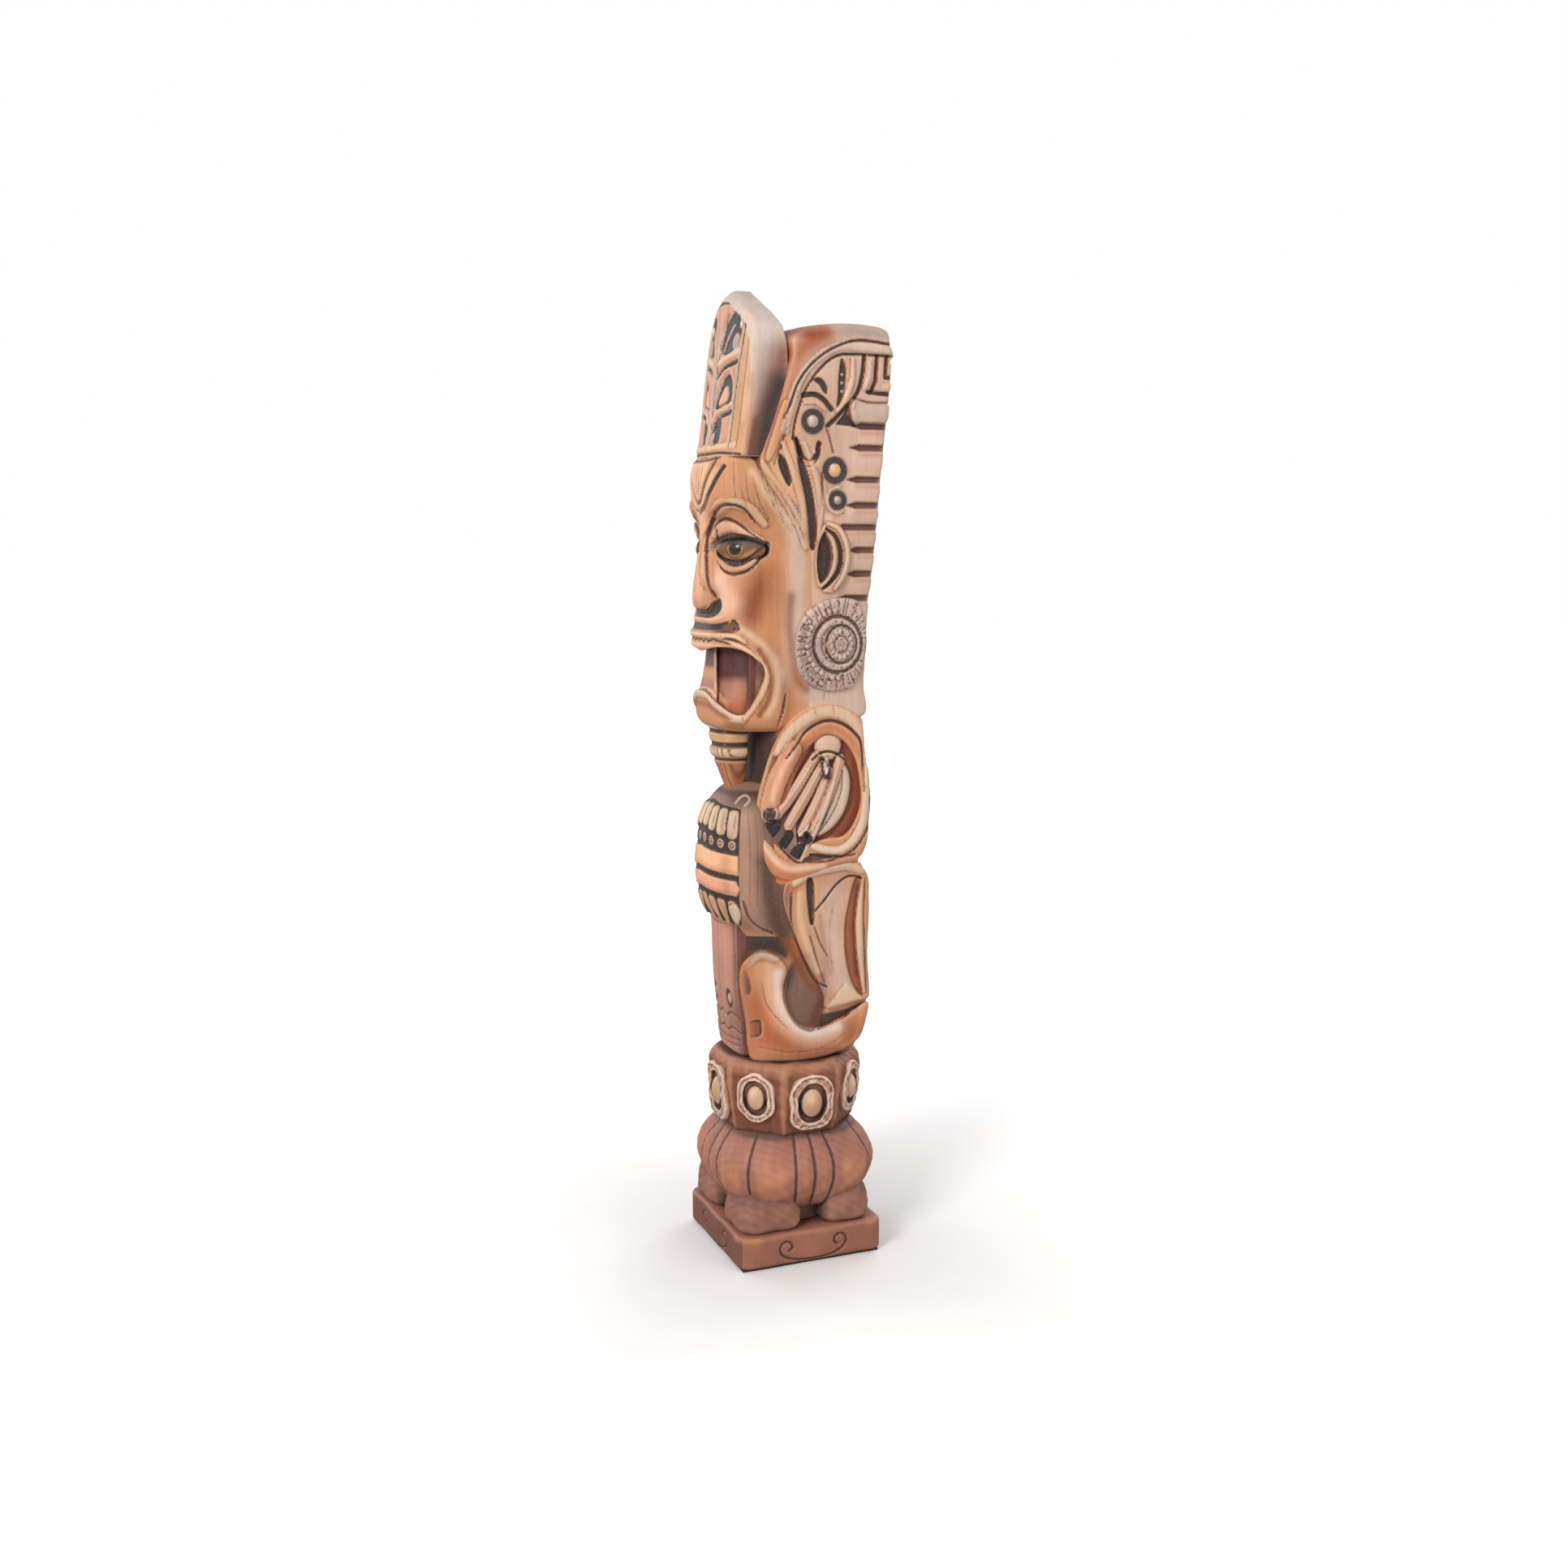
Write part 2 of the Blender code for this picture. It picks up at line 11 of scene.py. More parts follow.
import bpy
import numpy as np
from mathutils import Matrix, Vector


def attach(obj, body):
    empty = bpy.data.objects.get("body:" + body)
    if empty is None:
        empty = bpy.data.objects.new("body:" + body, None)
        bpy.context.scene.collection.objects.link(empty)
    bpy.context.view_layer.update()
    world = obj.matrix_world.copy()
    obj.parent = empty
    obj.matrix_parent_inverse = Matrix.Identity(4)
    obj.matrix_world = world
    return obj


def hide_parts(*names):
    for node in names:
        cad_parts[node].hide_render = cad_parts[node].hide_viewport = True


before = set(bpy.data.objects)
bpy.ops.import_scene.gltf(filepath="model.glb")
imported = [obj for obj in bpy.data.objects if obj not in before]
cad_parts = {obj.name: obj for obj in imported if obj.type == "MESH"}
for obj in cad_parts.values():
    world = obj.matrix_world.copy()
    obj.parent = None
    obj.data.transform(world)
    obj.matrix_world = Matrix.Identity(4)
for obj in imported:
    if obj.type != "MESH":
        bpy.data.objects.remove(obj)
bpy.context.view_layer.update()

MM = 0.001
FINE = 0.6  # spacing of the carving grid
SHEET_PITCH = 0.25  # spacing of the drawings
SIDE_PLANE = 34.0  # the side drawings lie on this plane

# The viewer, who looks at the figure's left side from a little above
VIEW_AZIMUTH = math.radians(67.67)
VIEW_PITCH = math.radians(8.16)
VIEW_DISTANCE = 875.4
VIEW_TARGET_HEIGHT = 245.9
VIEW_ANGLE = math.radians(50.0)
VIEWER = (
    VIEW_DISTANCE * math.cos(VIEW_PITCH) * math.sin(VIEW_AZIMUTH),
    -VIEW_DISTANCE * math.cos(VIEW_PITCH) * math.cos(VIEW_AZIMUTH),
    VIEW_DISTANCE * math.sin(VIEW_PITCH) + VIEW_TARGET_HEIGHT,
)


def linear(red, green, blue):
    """Linear colour from screen values of 0 to 255."""
    return tuple(((c / 255 + 0.055) / 1.055) ** 2.4 for c in (red, green, blue))


HONEY = linear(212, 148, 104)
ORANGE = linear(200, 122, 74)
CREAM = linear(226, 196, 166)
PALE = linear(208, 184, 168)
RUST = linear(124, 66, 48)
DARK_RUST = linear(88, 52, 44)
INK = linear(64, 55, 54)
TERRACOTTA = linear(168, 110, 90)
BROWN = linear(152, 116, 98)
MAUVE = linear(172, 142, 130)
SLATE = linear(70, 76, 78)
PEACH = linear(240, 184, 146)
GOLD = linear(212, 168, 122)
WHITE = linear(238, 230, 222)
YELLOW = linear(196, 142, 70)


# ------------------------------------------------------------ flat drawings


def smooth(share):
    """Smooth step from 0 to 1."""
    share = np.clip(share, 0.0, 1.0)
    return share * share * (3.0 - 2.0 * share)


def curve(points, closed=False, steps=6):
    """Catmull-Rom curve through the points."""
    points = np.asarray(points, float)
    if closed:
        before, after = np.roll(points, 1, 0), np.roll(points, -1, 0)
        beyond = np.roll(points, -2, 0)
    else:
        ends = np.vstack([2 * points[0] - points[1], points, 2 * points[-1] - points[-2]])
        before, points_here, after, beyond = ends[:-3], ends[1:-2], ends[2:-1], ends[3:]
        points = points_here
    rows = []
    for step in range(steps):
        t = step / steps
        rows.append(
            0.5
            * (
                2 * points
                + (after - before) * t
                + (2 * before - 5 * points + 4 * after - beyond) * t**2
                + (3 * points - before - 3 * after + beyond) * t**3
            )
        )
    path = np.stack(rows, 1).reshape(-1, 2)
    return path if closed else np.vstack([path, after[-1]])


def arc(centre, radii, start, end, count=24):
    """Part of an ellipse, angles in degrees from the first axis."""
    angles = np.radians(np.linspace(start, end, count))
    return np.stack([centre[0] + radii[0] * np.cos(angles), centre[1] + radii[1] * np.sin(angles)], 1)


def path_distance(u, v, path, closed=False):
    """Distance to a path, and how far along it the nearest point is, from 0 to 1.

    A closed path gives a signed distance, negative inside.
    """
    starts = path
    ends = np.roll(path, -1, 0) if closed else path[1:]
    lengths = [float(np.hypot(*(end - start))) for start, end in zip(starts, ends)]
    total = sum(lengths) or 1.0
    best = np.full(np.broadcast(u, v).shape, 1e9, np.float32)
    along = np.zeros_like(best)
    inside = np.zeros(best.shape, bool)
    walked = 0.0
    for start, end, length in zip(starts, ends, lengths):
        du, dv = end - start
        t = np.clip(((u - start[0]) * du + (v - start[1]) * dv) / max(length**2, 1e-9), 0, 1)
        gap = np.hypot(u - start[0] - t * du, v - start[1] - t * dv)
        nearer = gap < best
        best = np.where(nearer, gap, best)
        along = np.where(nearer, (walked + t * length) / total, along)
        walked += length
        if closed and dv:
            crosses = (start[1] > v) != (end[1] > v)
            inside ^= crosses & (u < start[0] + du * (v - start[1]) / dv)
    if closed:
        best = np.where(inside, -best, best)
    return best, along


DEEPEST = 9  # deeper than any relief


class Sheet:
    """Relief in millimetres (outwards) and paint, drawn on a flat sheet."""

    def __init__(self, low, high, paint):
        self.low = low
        size = [int((b - a) / SHEET_PITCH) + 1 for a, b in zip(low, high)]
        self.u = low[0] + SHEET_PITCH * np.arange(size[0], dtype=np.float32)[:, None]
        self.v = low[1] + SHEET_PITCH * np.arange(size[1], dtype=np.float32)[None, :]
        self.relief = np.zeros(size, np.float32)
        self.paint = np.empty((*size, 3), np.float32)
        self.paint[:] = paint

    def window(self, path, margin):
        """Slices and coordinates of the part of the sheet near a path."""
        low = path.min(0) - margin
        high = path.max(0) + margin
        first = [max(0, int((low[k] - self.low[k]) / SHEET_PITCH)) for k in (0, 1)]
        last = [max(0, int((high[k] - self.low[k]) / SHEET_PITCH) + 2) for k in (0, 1)]
        area = (slice(first[0], last[0]), slice(first[1], last[1]))
        return area, self.u[area[0]], self.v[:, area[1]]

    def apply(self, area, mask, height, paint, opacity):
        """Lay height and paint into a window through a mask."""
        if height:
            self.relief[area] += height * mask
        if paint is not None:
            cover = (opacity * mask)[..., None]
            self.paint[area] = self.paint[area] * (1 - cover) + np.asarray(paint, np.float32) * cover

    def line(self, points, width, depth=0.6, paint=INK, opacity=1.0, taper=0.0, bend=True):
        """Engraved and inked line; taper narrows its ends."""
        path = curve(points) if bend else np.asarray(points, float)
        area, u, v = self.window(path, width + 1)
        gap, along = path_distance(u, v, path)
        half = width / 2 * (1 - taper * np.abs(2 * along - 1) ** 2)
        mask = smooth((half + 0.35 - gap) / 0.7)
        self.apply(area, mask, -depth, paint, opacity)

    def ridge(self, points, width, height, paint=None, opacity=0.7, taper=0.3, level=None):
        """Raised rounded cord; with a level it stands on that level and hides what is lower."""
        path = curve(points)
        area, u, v = self.window(path, width)
        gap, along = path_distance(u, v, path)
        half = width / 2 * (1 - taper * np.abs(2 * along - 1) ** 2)
        mask = np.sqrt(np.clip(1 - (gap / half) ** 2, 0, 1))
        if level is None:
            self.apply(area, mask, height, paint, opacity)
            return
        surface = np.where(mask > 0, level + height * mask, -DEEPEST)
        covers = (surface > self.relief[area]) * smooth(mask * 2)
        self.relief[area] = np.maximum(self.relief[area], surface)
        self.apply(area, covers, 0, paint, opacity)

    def patch(self, points, height=0.0, paint=None, opacity=1.0, edge=0.6, bend=True):
        """Filled outline, raised or sunk with a sloping edge."""
        path = curve(points, closed=True) if bend else np.asarray(points, float)
        area, u, v = self.window(path, edge + 1)
        gap, _ = path_distance(u, v, path, closed=True)
        if height:
            self.apply(area, smooth(0.5 - gap / (2 * edge)), height, None, 0)
        self.apply(area, smooth(0.5 - gap / 0.8), 0, paint, opacity)

    def glow(self, points, radius, paint, opacity, height=0.0):
        """Soft airbrushed tone round a path, with an optional soft swell."""
        path = curve(points) if len(points) > 1 else np.asarray(points, float).repeat(2, 0)
        area, u, v = self.window(path, 2.2 * radius)
        gap, _ = path_distance(u, v, path)
        self.apply(area, np.exp(-((gap / radius) ** 2)), height, paint, opacity)

    def dome(self, centre, radii, height, paint=None, opacity=1.0):
        """Elliptical boss, or a hollow if the height is negative."""
        reach = np.array([np.asarray(centre) - radii, np.asarray(centre) + radii], float)
        area, u, v = self.window(reach, 0.5)
        share = ((u - centre[0]) / radii[0]) ** 2 + ((v - centre[1]) / radii[1]) ** 2
        self.apply(area, np.sqrt(np.clip(1 - share, 0, 1)), height, None, 0)
        self.apply(area, smooth((1.12 - share) / 0.3), 0, paint, opacity)

    def sample(self, plane, u, v):
        """Bilinear value of one of the sheet's layers."""
        a = np.clip((u - self.low[0]) / SHEET_PITCH, 0, plane.shape[0] - 1.001)
        b = np.clip((v - self.low[1]) / SHEET_PITCH, 0, plane.shape[1] - 1.001)
        i, j = a.astype(np.int32), b.astype(np.int32)
        a, b = a - i, b - j
        if plane.ndim == 3:
            a, b = a[:, None], b[:, None]
        low = plane[i, j] * (1 - a) + plane[i + 1, j] * a
        return low * (1 - b) + (plane[i, j + 1] * (1 - a) + plane[i + 1, j + 1] * a) * b


def sight(x, y, z):
    """Where the viewer's sight line through a point meets the side plane. Mirrors the far side."""
    stretch = (VIEWER[0] - SIDE_PLANE) / (VIEWER[0] - np.abs(x))
    return VIEWER[1] + (y - VIEWER[1]) * stretch, VIEWER[2] + (z - VIEWER[2]) * stretch


def straight_side(x, y, z):
    """Side drawing laid on squarely."""
    return y, z


# ------------------------------------------------------------- solid forms


def knots(z, *pairs):
    """Smooth curve through (height, value) pairs."""
    heights = np.array([pair[0] for pair in pairs], float)
    values = np.array([pair[1] for pair in pairs], float)
    slopes = np.gradient(values, heights)
    place = np.clip(np.searchsorted(heights, z) - 1, 0, len(heights) - 2)
    span = heights[place + 1] - heights[place]
    t = np.clip((z - heights[place]) / span, 0, 1)
    return (
        (1 + 2 * t) * (1 - t) ** 2 * values[place]
        + t * (1 - t) ** 2 * span * slopes[place]
        + t**2 * (3 - 2 * t) * values[place + 1]
        - t**2 * (1 - t) * span * slopes[place + 1]
    )


def column(x, y, half, front, back, widest=0.0, power=3.0):
    """Upright superellipse column; negative inside."""
    across = y - widest
    depth = np.where(across > 0, back - widest, widest - front)
    n = np.full_like(across, power, dtype=float)  # an array, so that the sums are in double precision
    norm = ((np.abs(x) / half) ** n + (np.abs(across) / depth) ** n) ** (1 / n)
    return np.hypot(x, across) * (1 - 1 / np.maximum(norm, 1e-3))


def ellipsoid(x, y, z, centre, radii):
    """Ellipsoid; negative inside."""
    parts = [p - c for p, c in zip((x, y, z), centre)]
    norm = np.sqrt(sum((p / r) ** 2 for p, r in zip(parts, radii)))
    size = np.sqrt(sum(p**2 for p in parts))
    return size * (1 - 1 / np.maximum(norm, 1e-3))


def meet(a, b, radius=1.0):
    """Intersection with a rounded edge."""
    outside = np.hypot(np.maximum(a + radius, 0), np.maximum(b + radius, 0))
    return np.minimum(np.maximum(a, b), -radius) + outside


def blend_join(a, b, soft):
    """Union with a soft fillet."""
    share = np.clip(0.5 + 0.5 * (b - a) / soft, 0, 1)
    return b + (a - b) * share - soft * share * (1 - share)


def remove(a, b, radius=1.0):
    """Cut b out of a, with a rounded edge."""
    return meet(a, -b, radius)


def slab(z, low, high):
    """Space between two heights."""
    return np.maximum(low - z, z - high)


# ------------------------------------------------------------------- skin

CORNERS = [(i, j, k) for i in (0, 1) for j in (0, 1) for k in (0, 1)]
EDGES = [(a, b) for a in range(8) for b in range(a + 1, 8) if bin(a ^ b).count("1") == 1]


def skin(field, low, step):
    """Surface net of quads where the field changes sign."""
    inside = field < 0
    mixed = np.zeros([n - 1 for n in field.shape], np.int8)
    for i, j, k in CORNERS:
        mixed += inside[i : i + mixed.shape[0], j : j + mixed.shape[1], k : k + mixed.shape[2]]
    cells = np.argwhere((mixed > 0) & (mixed < 8))
    values = np.stack([field[tuple((cells + corner).T)] for corner in CORNERS], 1)
    total = np.zeros((len(cells), 3))
    count = np.zeros((len(cells), 1))
    for a, b in EDGES:
        va, vb = values[:, a : a + 1], values[:, b : b + 1]
        crosses = (va < 0) != (vb < 0)
        t = np.where(crosses, va / np.where(crosses, va - vb, 1), 0)
        start = np.array(CORNERS[a], float)
        total += np.where(crosses, start + t * (np.array(CORNERS[b], float) - start), 0)
        count += crosses
    points = (cells + total / count) * step + np.asarray(low)
    number = np.full(mixed.shape, -1, np.int64)
    number[tuple(cells.T)] = np.arange(len(cells))
    quads = []
    for axis in range(3):
        one, two = (axis + 1) % 3, (axis + 2) % 3
        ahead = np.take(inside, range(1, inside.shape[axis]), axis)
        behind = np.take(inside, range(inside.shape[axis] - 1), axis)
        for leaving in (True, False):
            edge = np.argwhere((behind & ~ahead) if leaving else (~behind & ahead))
            edge = edge[(edge[:, one] > 0) & (edge[:, two] > 0)]
            ring = []
            for da, db in ((0, 0), (1, 0), (1, 1), (0, 1)):
                cell = edge.copy()
                cell[:, one] -= da
                cell[:, two] -= db
                ring.append(number[tuple(cell.T)])
            quad = np.stack(ring if leaving else ring[::-1], 1)
            quads.append(quad)
    return points, np.concatenate(quads)


def relaxed(points, quads, rounds=2):
    """Points moved towards their neighbours, to even out the steps the grid leaves."""
    here, there = quads.ravel(), np.roll(quads, 1, axis=1).ravel()
    count = np.bincount(here, minlength=len(points)) * 2
    for _ in range(rounds):
        sums = [
            np.bincount(here, points[there, axis], len(points))
            + np.bincount(there, points[here, axis], len(points))
            for axis in range(3)
        ]
        total = np.stack(sums, 1)
        points = 0.5 * points + 0.5 * total / count[:, None]
    return points


FLATTEST = 0.2  # least steepness squared that a move is worked out from
LONGEST_MOVE = 0.4  # in grid steps


def settled(points, field, low, step, rounds=2):
    """Points moved along the field's slope on to the surface where it is zero."""
    last_cell = np.array(field.shape) - 2
    for _ in range(rounds):
        place = (points - low) / step
        cell = np.clip(np.floor(place).astype(int), 0, last_cell)
        share = place - cell
        value = np.zeros(len(points))
        slope = np.zeros((len(points), 3))
        for corner in CORNERS:
            here = field[tuple((cell + corner).T)]
            weights = [share[:, axis] if corner[axis] else 1 - share[:, axis] for axis in range(3)]
            value += here * weights[0] * weights[1] * weights[2]
            for axis in range(3):
                across = weights[(axis + 1) % 3] * weights[(axis + 2) % 3]
                slope[:, axis] += here * across * (1 if corner[axis] else -1)
        slope /= step
        steepness = np.maximum((slope * slope).sum(1), FLATTEST)
        move = np.clip(value / steepness, -LONGEST_MOVE * step, LONGEST_MOVE * step)
        points = points - slope * move[:, None]
    return points


def make_mesh(name, points, quads, attributes, material):
    """Smooth-shaded mesh object in metres that rides on the figure's one body."""
    mesh = bpy.data.meshes.new(name)
    mesh.vertices.add(len(points))
    mesh.vertices.foreach_set("co", (points * MM).astype(np.float32).ravel())
    mesh.loops.add(quads.size)
    mesh.loops.foreach_set("vertex_index", quads.astype(np.int32).ravel())
    mesh.polygons.add(len(quads))
    mesh.polygons.foreach_set("loop_start", np.arange(0, quads.size, 4, dtype=np.int32))
    mesh.polygons.foreach_set("use_smooth", np.ones(len(quads), bool))
    mesh.update(calc_edges=True)
    for key, values in attributes.items():
        if values.ndim == 2:
            layer = mesh.attributes.new(key, "FLOAT_COLOR", "POINT")
            colour = np.ones((len(points), 4), np.float32)
            colour[:, :3] = values
            layer.data.foreach_set("color", colour.ravel())
        else:
            layer = mesh.attributes.new(key, "FLOAT", "POINT")
            layer.data.foreach_set("value", values.astype(np.float32))
    mesh.materials.append(material)
    piece = bpy.data.objects.new(name, mesh)
    bpy.context.scene.collection.objects.link(piece)
    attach(piece, "root")
    return piece


def coat(paint, colour, cover):
    """Paint with a colour laid over it."""
    cover = np.asarray(cover)[:, None]
    return paint * (1 - cover) + np.asarray(colour, np.float32) * cover


TURN_START, TURN_SPAN = 0.62, 0.26  # how squarely a face looks ahead or back to take that drawing
LEVEL_START, LEVEL_SPAN = 0.75, 0.2  # how level a face lies to take no drawing


def facing_shares(direction):
    """How much of the side, front and back drawings a surface facing this way takes."""
    front = smooth((-direction[1] - TURN_START) / TURN_SPAN)
    back = smooth((direction[1] - TURN_START) / TURN_SPAN)
    upward = smooth((np.abs(direction[2]) - LEVEL_START) / LEVEL_SPAN)
    side = 1 - front - back
    return side * (1 - upward), front * (1 - upward), back * (1 - upward)


RELIEF_REACH = 5.5  # drawings change the field this near to the surface
EDGE_SPAN, SWELL_SPAN = 0.9, 3.6  # spans over which fine and broad bends are judged: rubbed edges and grimed grooves, painted highlight on swells and painted shade in hollows
DARKEST_WORN_OR_LIT = 0.07  # paint with a lower mean value than this takes neither rubbed wear nor painted highlight


class Carving:
    """One piece: a solid form with drawings over it, skinned and painted."""

    def __init__(self, low, high, shape, step=None, mirrored=True):
        self.step = step or FINE
        self.mirrored = mirrored
        self.low = np.array([0.0 if mirrored else low[0], low[1], low[2]])
        axes = [np.arange(a, b + self.step, self.step) for a, b in zip(self.low, high)]
        self.axes = [axis.astype(np.float32) for axis in axes]
        x, y, z = self.axes[0][:, None, None], self.axes[1][None, :, None], self.axes[2][None, None, :]
        self.field = np.broadcast_to(shape(x, y, z), [len(a) for a in axes]).astype(np.float32)

    def direction(self, index):
        """Unit gradient of the field at grid points."""
        parts = []
        for axis in range(3):
            ahead, behind = list(index), list(index)
            ahead[axis] = np.minimum(index[axis] + 1, self.field.shape[axis] - 1)
            behind[axis] = np.maximum(index[axis] - 1, 0)
            if axis == 0 and self.mirrored:
                behind[0] = np.abs(index[0] - 1)
            parts.append(self.field[tuple(ahead)] - self.field[tuple(behind)])
        length = np.sqrt(sum(p * p for p in parts)) + 1e-9
        return [p / length for p in parts]

    def relief(self, side=None, front=None, back=None, projection=sight):
        """Raise or sink the surface by the drawings' relief."""
        index = np.nonzero(np.abs(self.field) < RELIEF_REACH)
        place = [axis[i] for axis, i in zip(self.axes, index)]
        u, v = projection(*place)
        change = np.zeros(len(u), np.float32)
        shares = facing_shares(self.direction(index))
        for sheet, share in zip((side, front, back), shares):
            if sheet is not None:
                a, b = (u, v) if sheet is side else (place[0], place[2])
                change += share * sheet.sample(sheet.relief, a, b)
        self.field[index] -= change

    def finish(self, name, material, side=None, front=None, back=None, projection=sight,
               base=HONEY, highlight=CREAM, shadow=DARK_RUST, wear_and_highlight=0.3, grime_and_shade=0.45,
               tint=None):
        """Skin the carving, paint it and stand it in for its CAD nodes."""
        field, low = self.field, self.low.copy()
        if self.mirrored:
            field = np.concatenate([field[:0:-1], field])
            low[0] = -self.axes[0][-1]
        field = np.pad(field, 1, constant_values=self.step)
        low = low - self.step
        points, quads = skin(field, low, self.step)
        points = settled(relaxed(points, quads), field, low, self.step)
        x, y, z = points.T.astype(np.float32)
        near = [np.clip(np.rint((p - a[0]) / self.step).astype(int), 0, len(a) - 1)
                for p, a in zip((np.abs(x) if self.mirrored else x, y, z), self.axes)]
        shares = facing_shares(self.direction(near))
        u, v = projection(x, y, z)
        paint = np.empty((len(points), 3), np.float32)
        paint[:] = base
        for sheet, share in zip((side, front, back), shares):
            if sheet is not None:
                a, b = (u, v) if sheet is side else (np.abs(x), z)
                share = share[:, None]
                paint = paint * (1 - share) + sheet.sample(sheet.paint, a, b) * share
        if tint:
            paint = tint(x, y, z, paint)
        # Fine bends rub ridges pale and grime the grooves; broad bends lay painted highlight on swells and
        # painted shade in hollows.
        bend = self.bend(near, EDGE_SPAN)
        broad = self.bend(near, SWELL_SPAN)
        edges = np.clip(bend, 0, 1) + 0.5 * np.clip(1.5 * broad - 0.35, 0, 1)
        hollows = np.clip(-bend, 0, 1) + 0.75 * np.clip(-1.6 * broad - 0.1, 0, 1)
        unpainted = smooth((paint.mean(1) - DARKEST_WORN_OR_LIT) / 0.1)
        paint = coat(paint, highlight, np.minimum(edges, 1) * wear_and_highlight * unpainted)
        paint = coat(paint, np.minimum(paint, shadow), np.minimum(hollows * grime_and_shade, 1))
        # The paint attribute carries the painted highlight and shade along with the paint.
        piece = make_mesh(name, points, quads, {"paint": paint, "wear": np.clip(bend, -1, 1)}, material)
        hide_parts(name)
        return piece

    def bend(self, near, span):
        """Convexity over a span at grid points: 1 on a sharp ridge, -1 in a sharp groove."""
        reach = max(1, round(span / self.step))
        centre = self.field[tuple(near)]
        total = np.zeros(len(centre), np.float32)
        for axis in range(3):
            for way in (-reach, reach):
                other = list(near)
                moved = near[axis] + way
                if axis == 0 and self.mirrored:
                    moved = np.abs(moved)
                other[axis] = np.clip(moved, 0, self.field.shape[axis] - 1)
                total += self.field[tuple(other)] - centre
        return total / (reach * self.step) ** (1.5 if span == SWELL_SPAN else 2) * 0.9


def both_sides(name, build):
    """Build the left piece, and the right one as its mirror image."""
    left = build(f"left_{name}")
    mesh = left.data.copy()
    mesh.name = f"right_{name}"
    mirror = np.empty(len(mesh.vertices) * 3, np.float32)
    mesh.vertices.foreach_get("co", mirror)
    mirror[0::3] *= -1
    mesh.vertices.foreach_set("co", mirror)
    mesh.flip_normals()
    right = bpy.data.objects.new(f"right_{name}", mesh)
    bpy.context.scene.collection.objects.link(right)
    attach(right, "root")
    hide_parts(f"right_{name}")


# --------------------------------------------------------------- materials


NOISE_TURN = (0.6, 0.45, 0.3)  # keeps the noise's own grid from lining up with the faces


class Nodes:
    """Short way to write a material's node tree."""

    def __init__(self, name):
        self.material = bpy.data.materials.new(name)
        self.material.use_nodes = True
        self.tree = self.material.node_tree
        self.shader = self.tree.nodes["Principled BSDF"]
        self.place = self.add("ShaderNodeTexCoord").outputs["Object"]

    def add(self, kind, **settings):
        """New node with some of its settings."""
        node = self.tree.nodes.new(kind)
        for key, value in settings.items():
            setattr(node, key, value)
        return node

    def link(self, source, target):
        """Join two sockets."""
        self.tree.links.new(source, target)

    def noise(self, scale, detail=4.0, roughness=0.6, stretch=(1, 1, 1)):
        """Noise over the figure, scale in cycles per metre."""
        mapping = self.add("ShaderNodeMapping")
        mapping.inputs["Scale"].default_value = stretch
        if stretch == (1, 1, 1):
            mapping.inputs["Rotation"].default_value = NOISE_TURN
        self.link(self.place, mapping.inputs["Vector"])
        node = self.add("ShaderNodeTexNoise")
        node.inputs["Scale"].default_value = scale
        node.inputs["Detail"].default_value = detail
        node.inputs["Roughness"].default_value = roughness
        self.link(mapping.outputs["Vector"], node.inputs["Vector"])
        return node.outputs["Fac"]

    def ramp(self, source, low, high, start=0.0, end=1.0):
        """Clamped linear map of a value."""
        node = self.add("ShaderNodeMapRange")
        node.inputs["From Min"].default_value = low
        node.inputs["From Max"].default_value = high
        node.inputs["To Min"].default_value = start
        node.inputs["To Max"].default_value = end
        self.link(source, node.inputs["Value"])
        return node.outputs["Result"]

    def math(self, operation, a, b):
        """Arithmetic on sockets or numbers."""
        node = self.add("ShaderNodeMath", operation=operation)
        for socket, value in zip(node.inputs, (a, b)):
            if isinstance(value, (int, float)):
                socket.default_value = value
            else:
                self.link(value, socket)
        return node.outputs["Value"]

    def mix(self, share, a, b, blend="MIX"):
        """Colour mix; a and b are sockets or colours."""
        node = self.add("ShaderNodeMix", data_type="RGBA", blend_type=blend)
        for socket, value in ((node.inputs[0], share), (node.inputs[6], a), (node.inputs[7], b)):
            if isinstance(value, (int, float)):
                socket.default_value = value
            elif isinstance(value, tuple):
                socket.default_value = (*value, 1.0)
            else:
                self.link(value, socket)
        return node.outputs[2]

    def bump(self, height, distance, strength=1.0):
        """Surface slope from a height map, distance in metres."""
        node = self.add("ShaderNodeBump")
        node.inputs["Distance"].default_value = distance
        node.inputs["Strength"].default_value = strength
        self.link(height, node.inputs["Height"])
        return node.outputs["Normal"]


